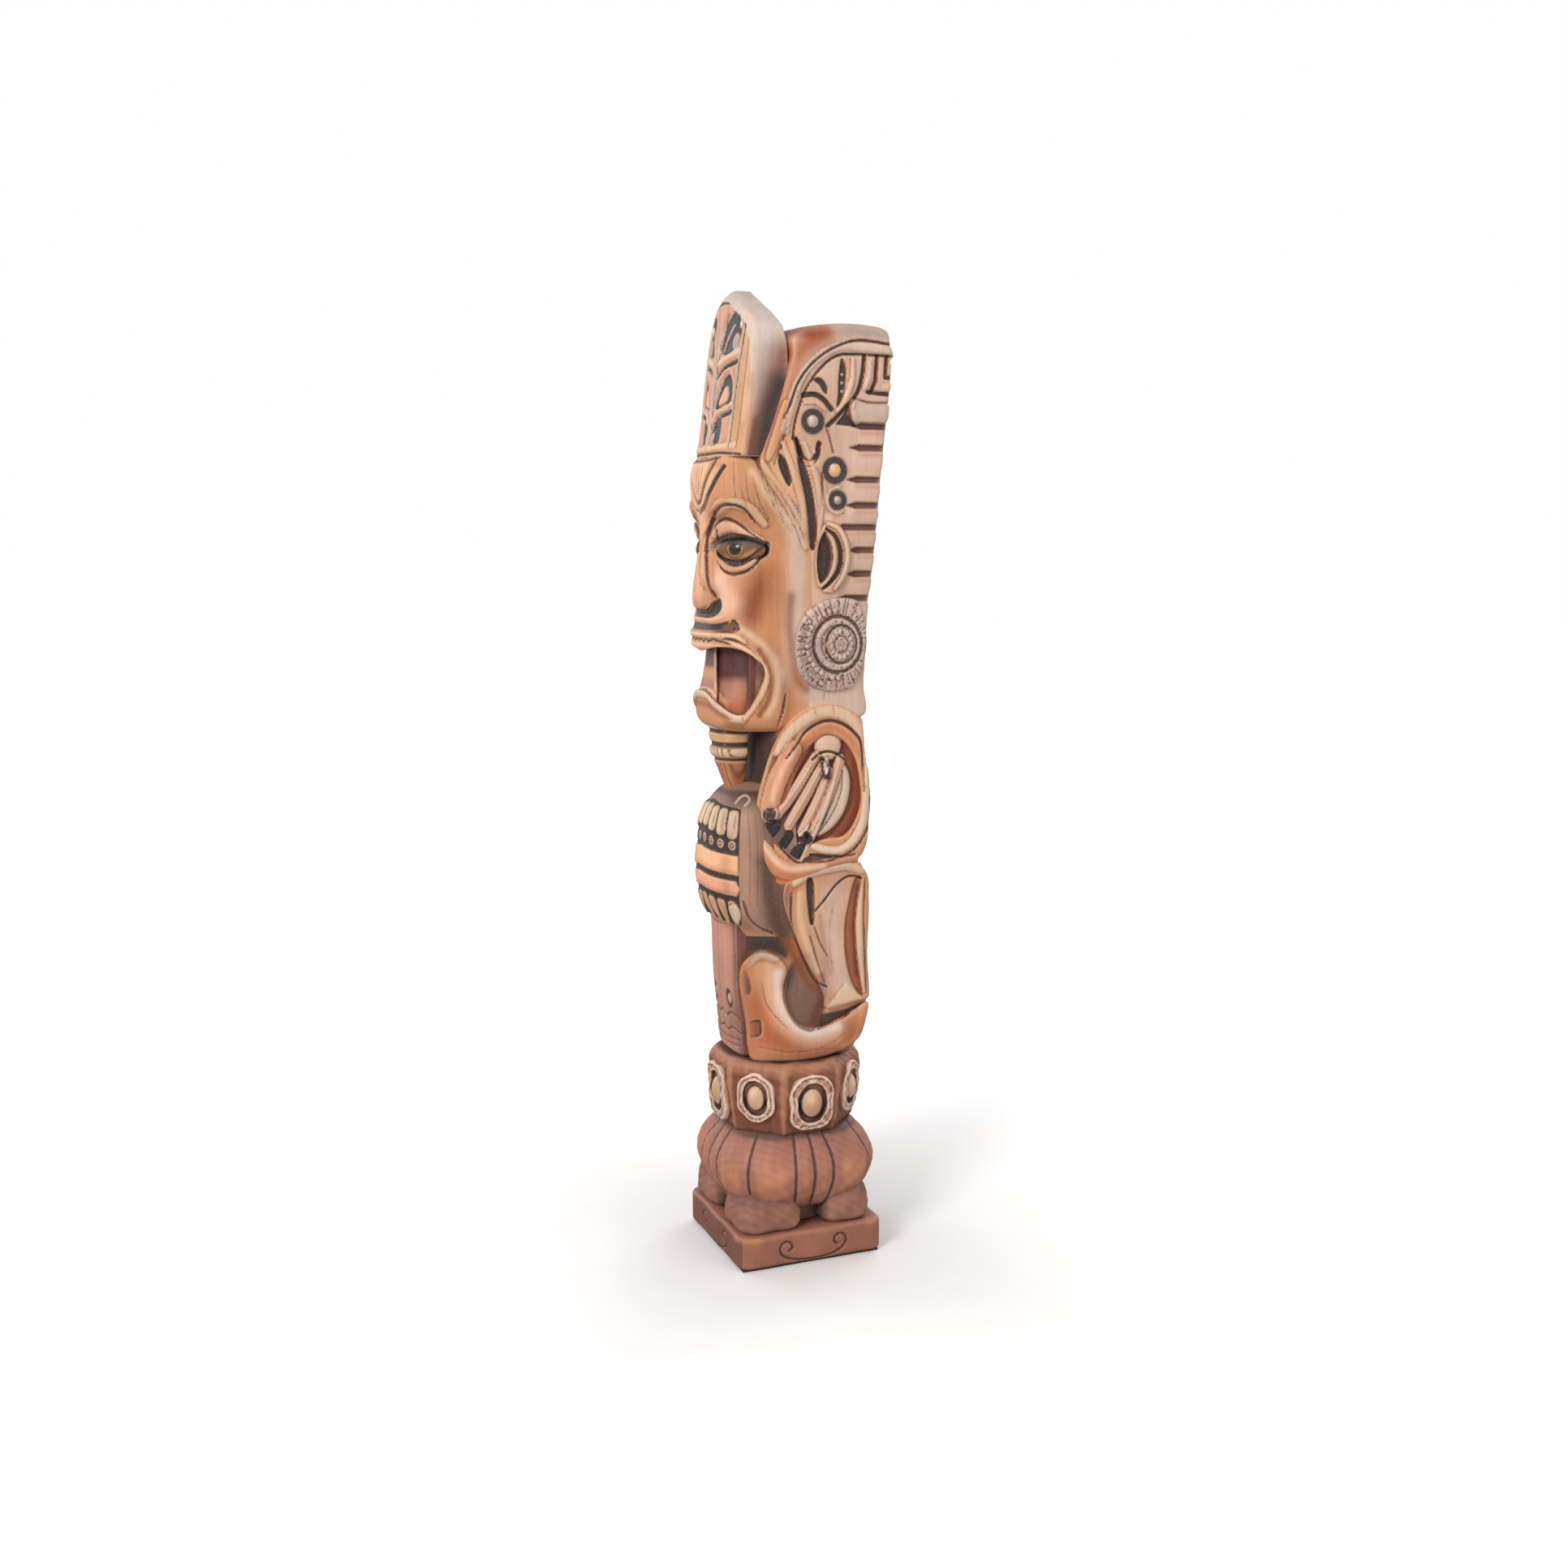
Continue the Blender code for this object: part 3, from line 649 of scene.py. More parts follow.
def carved_finish(name, roughness=0.55, grain=0.35, mottle=0.25, pits=0.0, dust=0.12):
    """Painted and stained carving wood: the paint layout comes from the piece."""
    n = Nodes(name)
    paint = n.add("ShaderNodeAttribute", attribute_name="paint").outputs["Color"]
    wear = n.add("ShaderNodeAttribute", attribute_name="wear").outputs["Fac"]
    fibres = n.noise(420, 5, 0.65, (1, 1, 0.07))
    patches = n.noise(38, 3, 0.55)
    specks = n.noise(900, 2, 0.5)
    tone = n.ramp(fibres, 0.3, 0.7, 1 - grain * 0.4, 1 + grain * 0.4)
    cloud = n.ramp(patches, 0.3, 0.7, 1 - mottle * 0.5, 1 + mottle * 0.4)
    shade = n.math("MULTIPLY", tone, cloud)
    grey = n.add("ShaderNodeCombineColor")
    for channel in grey.inputs[:3]:
        n.link(shade, channel)
    colour = n.mix(1.0, paint, grey.outputs["Color"], "MULTIPLY")
    rubbed = n.math("MULTIPLY", n.ramp(specks, 0.52, 0.7), dust)
    colour = n.mix(rubbed, colour, linear(214, 196, 180))
    n.link(colour, n.shader.inputs["Base Color"])
    gloss = n.ramp(patches, 0.3, 0.7, roughness - 0.08, roughness + 0.1)
    gloss = n.math("ADD", gloss, n.math("MULTIPLY", wear, -0.08))
    n.link(gloss, n.shader.inputs["Roughness"])
    height = n.math("ADD", n.math("MULTIPLY", fibres, 0.6), n.math("MULTIPLY", specks, 0.3 + pits))
    n.link(n.bump(height, 0.00035 + 0.0006 * pits, 0.5 + 0.4 * pits), n.shader.inputs["Normal"])
    n.shader.inputs["Specular IOR Level"].default_value = 0.35
    return n.material


def plain_finish(name, colour, roughness, stretch=(1, 1, 1), scale=900):
    """Fibrous finish for the felt and the raw dowels."""
    n = Nodes(name)
    fibres = n.noise(scale, 5, 0.7, stretch)
    light = tuple(min(1.0, c * 1.5 + 0.01) for c in colour)
    n.link(n.mix(n.ramp(fibres, 0.3, 0.7), colour, light), n.shader.inputs["Base Color"])
    n.link(n.ramp(fibres, 0.3, 0.7, roughness - 0.06, min(1.0, roughness + 0.06)),
           n.shader.inputs["Roughness"])
    n.link(n.bump(fibres, 0.0004, 0.7), n.shader.inputs["Normal"])
    return n.material


# -------------------------------------------------------------------- base


def plinth_shape(x, y, z):
    wobble = 0.25 * np.sin(0.19 * y + 0.4) * np.sin(0.23 * x + 1.0)
    box = np.maximum(np.abs(x), np.abs(y)) - 40.2 + wobble
    corner = (np.abs(x) + np.abs(y)) / math.sqrt(2) - 54.3
    sides = meet(box, corner, 2.5)
    return meet(sides, slab(z, 1.2, 18 + wobble), 2.2)


def draw_scroll(sheet):
    """Hanging line that curls up into a volute at either end."""
    volute = [(-13.6, 8.4), (-11.8, 9.8), (-12.4, 12.4), (-15.2, 13.6), (-17.9, 12), (-18.4, 8.6),
              (-15.6, 5.4), (-9, 3.1), (0, 2.4)]
    sheet.line(volute + [(-u, v) for u, v in reversed(volute[:-1])], 1.15, 0.9, INK)


def plinth_sheet(ground):
    sheet = Sheet((-44, -2), (44, 22), ground)
    draw_scroll(sheet)
    sheet.glow([(-36, 18), (-31, 17)], 2.4, YELLOW, 0.6)
    sheet.glow([(36, 18), (32, 17.5)], 2.0, YELLOW, 0.5)
    sheet.glow([(-44, 0), (44, 0)], 3.0, RUST, 0.4)
    return sheet


def make_plinth(finish):
    # The front faces take a darker copy of the drawing: painted shade on that side.
    sheet, front = plinth_sheet(linear(160, 104, 84)), plinth_sheet(linear(128, 80, 66))

    def tint(x, y, z, paint):
        # Painted shade: the top face darkens inwards, under the feet and the bulb.
        under = smooth((z - 16.5) / 1.5) * smooth((36.5 - np.maximum(np.abs(x), np.abs(y))) / 8)
        return paint * (1 - 0.55 * under[:, None])

    block = Carving((0, -43, 0), (43, 43, 20), plinth_shape)
    block.relief(sheet, front, sheet, straight_side)
    block.finish("plinth", finish, sheet, front, sheet, straight_side, TERRACOTTA,
                 linear(186, 132, 108), RUST, 0.35, 0.3, tint)


def hewn(x, y, z, depth):
    """Shallow facets left by the blade."""
    wave = np.sin(0.41 * x + 0.23 * z + 0.7) * np.sin(0.37 * y - 0.29 * z + 1.9)
    return depth * (wave + 0.6 * np.sin(0.83 * y + 0.61 * z + 0.4) * np.sin(0.79 * x - 0.5 * z + 2.2))


def make_foot(name, side, y, half, finish):
    x = side * (38.5 - half)

    def shape(px, py, pz):
        lump = column(px - x, py - y, half, -half, half, 0, 4.0)
        shoulder = 0.012 * np.maximum(pz - 22, 0) ** 2 + 0.05 * np.maximum(22 - pz, 0) ** 2
        return meet(lump + shoulder + hewn(px, py, pz, 0.35), slab(pz, 17.4, 39), 5.0)

    def tint(px, py, pz, paint):
        # Painted shade: darker where the foot meets the plinth, on the faces turned to the middle and the
        # other feet, and high up under the bulb.
        low = smooth((20.5 - pz) / 2.5) * 0.6
        inner = smooth((20 - np.maximum(np.abs(px), np.abs(py))) / 12) * 0.7
        middle = smooth((9 - np.minimum(np.abs(px), np.abs(py - 3))) / 5) * 0.7
        high = smooth((pz - 30) / 6) * 0.45
        return coat(paint, linear(62, 50, 48), np.clip(low + inner + middle + high, 0, 0.85))

    lump = Carving((x - half - 2, y - half - 2, 16), (x + half + 2, y + half + 2, 41), shape, mirrored=False)
    lump.finish(name, finish, base=linear(152, 102, 86), highlight=linear(184, 142, 126), shadow=RUST,
                wear_and_highlight=0.3, grime_and_shade=0.3, tint=tint)


def bulb_angles(x, y):
    """Angle from the middle of the nearest face, in radians."""
    return (np.arctan2(y, x) + math.pi / 4) % (math.pi / 2) - math.pi / 4


def groove_gap(x, y):
    """Distance along the surface to the nearest flute line."""
    angle = bulb_angles(x, y)
    gaps = [np.abs(angle - g) for g in (-0.245, 0.0, 0.245)] + [math.pi / 4 - np.abs(angle)]
    return np.minimum.reduce(gaps) * np.hypot(x, y)


def bulb_shape(x, y, z):
    radius = knots(z, (25, 27), (28, 33), (35, 39), (43, 42.8), (51, 43.6), (59, 40.5), (67, 34), (70, 32))
    body = column(x, y, radius, -radius, radius, 0, 2.9)
    gap = groove_gap(x, y)
    body = body + 1.2 * np.exp(-((gap / 0.9) ** 2)) + 0.6 * np.exp(-((gap / 3.0) ** 2)) + hewn(x, y, z, 0.3)
    neck = np.maximum(np.hypot(x, y) - 27, slab(z, 18.6, 34))
    return np.minimum(meet(body, slab(z, 26.4, 68.5), 2.0), neck)


def make_bulb(finish):
    def tint(x, y, z, paint):
        ink = smooth((1.15 - groove_gap(x, y)) / 0.8) * 0.85
        seam = smooth((z - 64.5) / 2.5) * 0.7
        # Painted shade darkens the bulb below its swell, and a painted highlight lightens the middle of the
        # swell between the flutes.
        under = smooth((38 - z) / 11) * 0.8
        middle = np.exp(-(((z - 46) / 9) ** 2)) * smooth((groove_gap(x, y) - 2) / 6)
        paint = coat(paint, linear(206, 138, 104), middle * 0.7)
        dark = np.maximum.reduce([ink, seam, under])[:, None]
        return paint * (1 - dark) + np.asarray(INK, np.float32) * dark

    bulb = Carving((0, -46, 18), (46, 46, 71), bulb_shape)
    bulb.finish("fluted_bulb", finish, base=TERRACOTTA, highlight=linear(190, 146, 132), shadow=RUST,
                wear_and_highlight=0.35, grime_and_shade=0.3, tint=tint)


def octagon_gap(x, y):
    """Distance to the axis along the nearest of eight directions."""
    return np.maximum(np.maximum(np.abs(x), np.abs(y)), (np.abs(x) + np.abs(y)) / math.sqrt(2))


def collar_shape(x, y, z):
    apothem = knots(z, (66, 32.5), (72, 34.2), (84, 36.0), (96, 37.4), (102, 36.8), (108, 33))
    round_off = np.hypot(x, y) - apothem * 1.078
    body = meet(octagon_gap(x, y) - apothem, round_off, 0.6) + hewn(x, y, z, 0.45)
    rough_top = 0.5 * np.sin(0.31 * x + 0.6) * np.sin(0.27 * y + 0.2)
    return meet(body, slab(z, 67.4, 106.4 + rough_top), 1.4)


def make_collar(finish):
    def tint(x, y, z, paint):
        seam = smooth((70.5 - z) / 2.5) * 0.6
        # Painted shade on the top face, under the figure.
        top = smooth((z - 104.5) / 1.5) * smooth((37 - np.hypot(x, y)) / 4) * 0.75
        sector = np.abs((np.arctan2(y, x) + math.pi / 8) % (math.pi / 4) - math.pi / 8) * np.hypot(x, y)
        paint = coat(paint, linear(120, 72, 54), smooth((18 - sector) / 6) * smooth((104 - z) / 4) * 0.6)
        # Painted highlight on the corners between the faces.
        paint = coat(paint, linear(206, 150, 112), smooth((sector - 12.6) / 2.5) * 0.5)
        paint = coat(paint, linear(196, 132, 96), np.exp(-(((z - 104) / 3) ** 2)) * 0.5)
        dark = np.maximum(seam, top)[:, None]
        return paint * (1 - dark) + np.asarray(INK, np.float32) * dark

    collar = Carving((0, -41, 66), (41, 41, 109), collar_shape)
    collar.finish("jewel_collar", finish, base=linear(138, 84, 64), highlight=linear(180, 130, 104),
                  shadow=RUST, wear_and_highlight=0.4, grime_and_shade=0.35, tint=tint)


STATIONS = ("front", "front_left", "left", "back_left", "back", "back_right", "right", "front_right")


def turned(piece_points, angle):
    """Turn points about the figure's axis."""
    c, s = math.cos(angle), math.sin(angle)
    turned_points = piece_points.copy()
    turned_points[:, 0] = c * piece_points[:, 0] - s * piece_points[:, 1]
    turned_points[:, 1] = s * piece_points[:, 0] + c * piece_points[:, 1]
    return turned_points


def oval_gap(u, v, half_u, half_v, power):
    """Rough distance to a flat superellipse; negative inside."""
    norm = ((np.abs(u) / half_u) ** power + (np.abs(v) / half_v) ** power) ** (1 / power)
    return np.hypot(u, v) * (1 - 1 / np.maximum(norm, 1e-3))


COLLAR_FRONT = 35.6  # the jewels lie on this plane before they are turned
JEWEL_LEAN = 0.06  # slope of the collar's face


def frame_parts(diagonal):
    """Half sizes, squareness and middle height of an oval or a square medallion."""
    return (10.6, 13.4, 2.1, 88.0) if diagonal else (11.8, 14.6, 3.6, 85.5)


def make_jewels(finish, stone_finish):
    """Rubbed frames with a domed cabochon in each, turned round the collar."""
    for index, station in enumerate(STATIONS):
        half_u, half_v, power, height = frame_parts(index % 2)

        def depth_of(y, z):
            return -y - COLLAR_FRONT - JEWEL_LEAN * (z - height)

        def frame_shape(x, y, z):
            scallop = 0.2 * np.sin(5 * np.arctan2(z - height, x) + index)
            scallop = scallop + hewn(0.6 * x, 0.6 * z, y + 9 * index, 0.45)
            outer = oval_gap(x, z - height, half_u, half_v, power) + scallop
            inner = oval_gap(x, z - height, half_u - 4.0, half_v - 4.4, 2.3)
            rise = depth_of(y, z)
            thick = 3.4 + hewn(1.3 * x, 1.3 * z, 5 * index, 0.45)
            ring = meet(meet(outer, -inner, 1.0), np.maximum(rise - thick, -3 - rise), 1.2)
            middle = np.abs(outer + 1.9)
            return ring + 0.5 * np.exp(-((middle / 0.6) ** 2)) * (rise > 0)

        def frame_tint(x, y, z, paint):
            outer = oval_gap(x, z - height, half_u, half_v, power)
            groove = smooth((0.8 - np.abs(outer + 1.9)) / 0.6) * 0.25
            inner = oval_gap(x, z - height, half_u - 4.0, half_v - 4.4, 2.3)
            groove = np.maximum(groove, smooth((0.9 - inner) / 0.7))
            rise = depth_of(y, z)
            side = smooth((1.6 - rise) / 1.6) * 0.75
            blotch = 0.5 + 0.5 * np.sin(0.9 * x + 1.7 * index) * np.sin(0.7 * z)
            blotch = blotch[:, None]
            paint = paint * (1 - 0.4 * blotch) + np.asarray(ORANGE, np.float32) * 0.4 * blotch
            dark = np.maximum(groove, side)[:, None]
            return paint * (1 - dark) + np.asarray(linear(92, 66, 56), np.float32) * dark

        def stone_shape(x, y, z):
            centre = (0, -35.2, height)
            return ellipsoid(x, y, z, centre, (half_u - 5.2, 5.4, half_v - 6.0))

        def stone_tint(x, y, z, paint):
            share = np.hypot(x / (half_u - 5.2), (z - height) / (half_v - 6.0))
            # Painted highlight: a glint on the upper left of the cabochon.
            paint = coat(paint, linear(232, 196, 160),
                         np.exp(-(((x + 1.2) / 2) ** 2) - ((z - height - 3) / 3) ** 2) * 0.8)
            dark = smooth((share - 0.74) / 0.16)[:, None]
            return paint * (1 - dark) + np.asarray(INK, np.float32) * dark

        box = ((0, -42, height - half_v - 1.5), (half_u + 1.5, -31, height + half_v + 1.5))
        for name, shape, tint, use, base in (
            (f"medallion_frame_{station}", frame_shape, frame_tint, finish, linear(186, 132, 96)),
            (f"cabochon_{station}", stone_shape, stone_tint, stone_finish, linear(200, 150, 108)),
        ):
            jewel = Carving(*box, shape, step=FINE * 0.85)
            piece = jewel.finish(name, use, base=base, highlight=linear(232, 206, 186), shadow=DARK_RUST,
                                 wear_and_highlight=0.95, grime_and_shade=0.8, tint=tint)
            points = np.empty(len(piece.data.vertices) * 3, np.float32)
            piece.data.vertices.foreach_get("co", points)
            points = turned(points.reshape(-1, 3), index * math.tau / 8)
            piece.data.vertices.foreach_set("co", points.ravel())
            piece.data.update()


# -------------------------------------------------------------- lower body


def rounded_box(x, y, half, back, corner):
    """Flat-sided plan with rounded rear corners; negative inside."""
    across, behind = np.abs(x) - half + corner, y - back + corner
    outside = np.hypot(np.maximum(across, 0), np.maximum(behind, 0))
    return outside + np.minimum(np.maximum(across, behind), 0) - corner


def trunk(x, y, half, front, back, power=2.6, corner=6.0):
    """Plan of the figure: rounded in front, boxy behind; negative inside."""
    round_front = column(x, y, half, front, 40, 0, power)
    return np.where(y < 0, round_front, rounded_box(x, np.maximum(y, 0), half, back, corner))


def legs_back(z):
    return knots(z, (107, 27), (112, 30), (120, 33), (128, 35.2), (160, 34.8), (190, 35.5), (201, 34.5),
                 (206, 31.5), (212, 30.5))


def legs_front(z):
    return knots(z, (107, -31), (114, -32.4), (126, -33.4), (145, -35.4), (164, -36.2), (200, -36),
                 (212, -34))


def chest_back(z):
    return knots(z, (210, 30.5), (216, 33.5), (230, 35.2), (242, 36), (254, 34), (266, 32.2), (284, 31.2),
                 (296, 30.8))


class Outline:
    """Signed distance to a closed outline on the side drawings."""

    def __init__(self, points, projection=sight, bend=True):
        path = curve(points, closed=True) if bend else np.asarray(points, float)
        self.projection = projection
        self.sheet = Sheet(path.min(0) - 12, path.max(0) + 12, INK)
        self.sheet.relief, _ = path_distance(self.sheet.u, self.sheet.v, path, closed=True)

    def gap(self, x, y, z):
        u, v = self.projection(x, y, z)
        u, v = np.broadcast_arrays(u, v)
        return self.sheet.sample(self.sheet.relief, u, v)


def side_shell(outline, plan, depth, radius=1.8):
    """Plate that follows a plan of the body, cut to an outline."""

    def shape(x, y, z):
        outer = plan(x, y, z)
        return meet(np.maximum(outer, -depth - outer), outline.gap(x, y, z), radius)

    return shape


def leg_sheet():
    """Side drawing of leg, thigh and the body between them."""
    sheet = Sheet((-62, 98), (52, 216), HONEY)
    sheet.patch([(-62, 98), (52, 98), (52, 216), (-62, 216)], 0, HONEY, 1, bend=False)
    # Painted shade under the belly, over the body between leg and thigh.
    sheet.patch([(-62, 164), (-39, 164), (-31, 168.4), (-21, 168), (-13, 162), (-8, 176), (-12, 206),
                 (-62, 206)], 0, linear(70, 50, 44), 1, 1.5, bend=False)
    # leg
    sheet.glow([(-30, 140), (-24, 125), (0, 113), (22, 118)], 10, linear(164, 86, 48), 0.9)
    # Painted highlight along the inner rim of the curled leg.
    sheet.glow([(-21, 158), (-19.5, 142), (-13, 128.5), (-1, 119), (14, 119)], 5.0, linear(222, 172, 140),
               0.85, 0.5)
    sheet.glow([(-17, 154), (-16, 139), (-8, 126.5), (3, 121), (16, 123)], 2.8, linear(232, 212, 200), 0.85,
               0.4)
    # Painted shade under the belly's rim.
    sheet.glow([(-40, 166), (-28, 169), (-14, 166)], 5.5, linear(62, 46, 42), 0.95)
    # Painted shade along the leg's bottom edge.
    sheet.glow([(-28, 109), (0, 108), (16, 110)], 2.6, linear(140, 76, 52), 0.8)
    sheet.glow([(-36.5, 150), (-34.5, 128), (-31, 112)], 1.6, linear(214, 160, 122), 0.8)
    sheet.patch([(-38, 157), (-35, 158), (-32, 150), (-32.5, 145), (-36, 147)], -1.4, INK, 0.9)
    sheet.patch([(-33.5, 130.5), (-27, 131), (-26.5, 123.5), (-33, 123)], -0.8, RUST, 0.75)
    sheet.line([(-33.5, 130.5), (-27, 131), (-26.5, 123.5), (-33, 123), (-33.5, 130.5)], 0.8, 0.4, bend=False)
    sheet.line([(-30, 118), (-10, 112.5), (8, 113), (22, 120)], 0.7, 0.3, RUST, 0.5, 0.6)
    sheet.line([(-26, 150), (-23, 138), (-12, 125)], 0.7, 0.35, RUST, 0.5, 0.6)
    sheet.ridge([(-35, 160), (-27, 165), (-18, 162)], 5, 0.7, PALE, 0.5)
    # recess between leg and thigh
    hollow = [(-15, 143), (-11, 157), (-4, 163), (5, 160), (9.5, 145), (8, 132), (6, 125), (0, 122),
              (-9, 128)]
    sheet.patch(hollow, -0.6, linear(124, 94, 80), 1, 2.5)
    # Painted shade inside the recess, under the thigh's edge and at its upper left.
    sheet.glow([(7, 156), (7, 140), (3, 128)], 4, linear(104, 56, 42), 0.9)
    sheet.glow([(-13, 148), (-9, 158)], 2.5, linear(76, 58, 52), 0.8)
    # thigh
    sheet.glow([(14, 192), (12, 176), (14, 160), (18, 146)], 9, linear(216, 184, 164), 0.95)
    sheet.glow([(-9, 200), (-11, 180), (-6, 165), (2, 150)], 4.5, linear(178, 106, 66), 0.85)
    sheet.glow([(-5, 194), (-5, 182), (-1, 168), (5, 154)], 2.4, linear(224, 186, 146), 0.9, 0.6)
    sheet.glow([(-13.5, 192), (-13, 174), (-6, 157), (2, 144)], 2.0, linear(128, 72, 46), 0.85)
    sheet.glow([(6, 182), (8, 168), (12, 152)], 1.6, linear(176, 124, 94), 0.6)
    sheet.ridge([(-8, 200), (0, 204.6), (10, 206.6), (20, 207), (30, 204)], 5.5, 0.9, linear(222, 190, 166),
                0.85)
    sheet.patch([(25, 200), (29, 200), (27, 190), (25.5, 178), (26, 165), (28, 150), (30, 138), (24, 145),
                 (20, 160), (19.5, 175), (21, 185)], -1.2, linear(164, 92, 62), 1)
    sheet.glow([(27, 196), (25, 176), (27, 150)], 1.6, linear(92, 48, 38), 0.9)
    sheet.ridge([(29, 199), (27.8, 180), (28.6, 158), (30.5, 140)], 4.4, 0.9, CREAM, 0.9, 0.5)
    sheet.line([(31, 200), (30.4, 180), (31, 158), (32, 140)], 0.7, 0.6, INK, 0.8)
    sheet.line([(-10, 195), (-10, 180), (-7, 170), (-2, 158), (3, 149), (9.5, 145)], 1.1, 1.0)
    sheet.line([(3, 185), (8, 190), (14, 197), (20, 201.2), (25, 201.5), (29, 200)], 1.1, 0.9)
    sheet.patch([(-1.6, 201), (1.8, 201), (2.6, 188), (2.2, 179), (0.4, 179), (-1, 188)], -2.0, INK, 1)
    sheet.line([(1.5, 180), (3, 176), (6, 168), (10, 161)], 0.9, 0.5, RUST, 0.9, 0.5)
    sheet.line([(0, 173), (4, 160), (8.5, 147)], 0.8, 0.5, RUST, 0.8, 0.5)
    sheet.line([(14, 190), (11, 176), (12, 160), (16, 147)], 0.6, 0.25, ORANGE, 0.5, 0.7)
    sheet.patch([(8, 132), (30, 136.5), (21, 146)], 0.6, CREAM, 0.7, 1.0, bend=False)
    sheet.patch([(5, 123), (6, 130.5), (20, 132), (31, 135), (21, 128)], -2.2, INK, 0.95, 0.8, bend=False)
    # Painted shade along the bottom, where the legs stand on the collar.
    sheet.glow([(-40, 100), (40, 100)], 7, INK, 0.75)
    return sheet


def legs_plan(x, y, z):
    return trunk(x, y, 34, legs_front(z), legs_back(z))


def back_sheet(low, high, paint):
    """Back drawing: rows of chiselled bars either side of a spine."""
    sheet = Sheet((0, low), (46, high), paint)
    step = 11.7
    for row in range(int((high - low) / step) + 1):
        z = low + 5 + row * step
        sheet.line([(3.5, z - 2.5), (12, z), (27, z + 0.8)], 1.5, 1.0, RUST, 0.9, 0.4)
        sheet.glow([(6, z + 3.4), (24, z + 4.6)], 1.6, CREAM, 0.5)
    sheet.ridge([(0, low), (0, high)], 5.5, 1.2, CREAM, 0.5, 0)
    sheet.line([(3, low), (3, high)], 0.9, 0.7, INK, 0.8)
    sheet.line([(28.5, low), (28.5, high)], 0.9, 0.7, INK, 0.7)
    return sheet


def make_lower_body(finish):
    side, back = leg_sheet(), back_sheet(100, 216, HONEY)

    def core(x, y, z):
        plan = trunk(x, y, 29.5, legs_front(z) + 3, legs_back(z) - 0.4, corner=4)
        return meet(plan, slab(z, 106.9, 211.4), 2)

    def tint(x, y, z, paint):
        # Painted shade at the bottom, where the body stands on the collar.
        low = smooth((112 - z) / 5)[:, None] * 0.8
        return paint * (1 - low) + np.asarray(INK, np.float32) * low

    body = Carving((0, -38, 105), (36, 40, 214), core)
    body.relief(back=back)
    # The dark ground is painted shade where the core shows between the legs, thighs, belly and loincloth.
    body.finish("lower_body", finish, side, None, back, base=linear(84, 60, 50), tint=tint)

    leg = Outline([(-31, 111), (-34, 118), (-35, 130), (-37, 141), (-39, 152), (-37.5, 160), (-33, 164.5),
                   (-26, 166.5), (-19, 164), (-13, 158), (-12.5, 150), (-13.5, 142), (-10, 132), (-3, 125.5),
                   (5, 124), (14, 127), (24, 131.5), (33, 135), (36, 130), (34, 121), (24, 113), (10, 108.5),
                   (-6, 107.6), (-18, 108.6)])
    thigh = Outline([(-12, 202), (-2, 205.5), (10, 208), (22, 209.2), (34, 208), (38, 204), (38.5, 180),
                     (38.5, 150), (37, 138), (26, 135.5), (14, 133.8), (8.5, 134), (8, 140), (5, 148),
                     (0, 156), (-5, 166), (-9, 176), (-13, 186), (-14.5, 195)])
    for name, outline, low, high in (("leg", leg, 106, 170), ("thigh", thigh, 130, 212)):

        def build(piece_name, outline=outline, low=low, high=high):
            carving = Carving((14, -42, low), (37, 41, high), side_shell(outline, legs_plan, 7),
                              mirrored=False)
            carving.relief(side)
            return carving.finish(piece_name, finish, side, None, back, base=linear(184, 112, 74))

        both_sides(name, build)


def make_loincloth(finish):
    ground = linear(200, 144, 124)
    sheet = Sheet((0, 100), (40, 200), ground)
    sheet.glow([(0, 120), (0, 180)], 6, linear(196, 140, 118), 0.6)
    sheet.line([(0, 106), (0, 184)], 0.8, 0.4, RUST, 0.5)
    sheet.dome((9.5, 137), (3.6, 5.6), -1.6, INK, 0.95)
    sheet.dome((9.5, 137), (1.8, 3.0), 1.8, CREAM, 0.8)
    for z in (129.5, 121.5):
        sheet.line([(0, z), (5, z - 1.8), (10.5, z + 0.4), (17, z - 1.6)], 1.0, 0.7)
    # Painted shade down the loincloth's side edge.
    sheet.glow([(17, 108), (18, 140), (19, 180)], 3.0, linear(96, 56, 50), 0.9)
    sheet.glow([(3, 178), (6, 150)], 4, linear(196, 142, 124), 0.6)
    # Painted shade along the top, under the belly.
    sheet.glow([(0, 186), (20, 180)], 5, linear(74, 48, 46), 0.85)
    sheet.glow([(8, 116), (12, 132)], 7, linear(132, 84, 72), 0.6)
    for z in (112, 115.5):
        sheet.line([(0, z), (16, z + 1)], 0.7, 0.5, RUST, 0.7)

    def shape(x, y, z):
        plan = trunk(x, y, 33, legs_front(z) - 0.8, 10)
        width = knots(z, (107, 17.5), (130, 18), (165, 19), (192, 19))
        return meet(meet(np.maximum(plan, y + 20), np.abs(x) - width, 1.5), slab(z, 107.5, 189), 2)

    cloth = Carving((0, -42, 105), (22, -16, 192), shape)
    cloth.relief(sheet, sheet, None, lambda x, y, z: (np.abs(x), z))
    cloth.finish("loincloth", finish, sheet, sheet, None, lambda x, y, z: (np.abs(x), z), ground,
                 linear(206, 164, 146), DARK_RUST)


# -------------------------------------------------------------- upper body


def chest_plan(x, y, z):
    return trunk(x, y, 34, knots(z, (200, -34), (225, -33), (250, -30), (285, -28)), chest_back(z), 2.4)


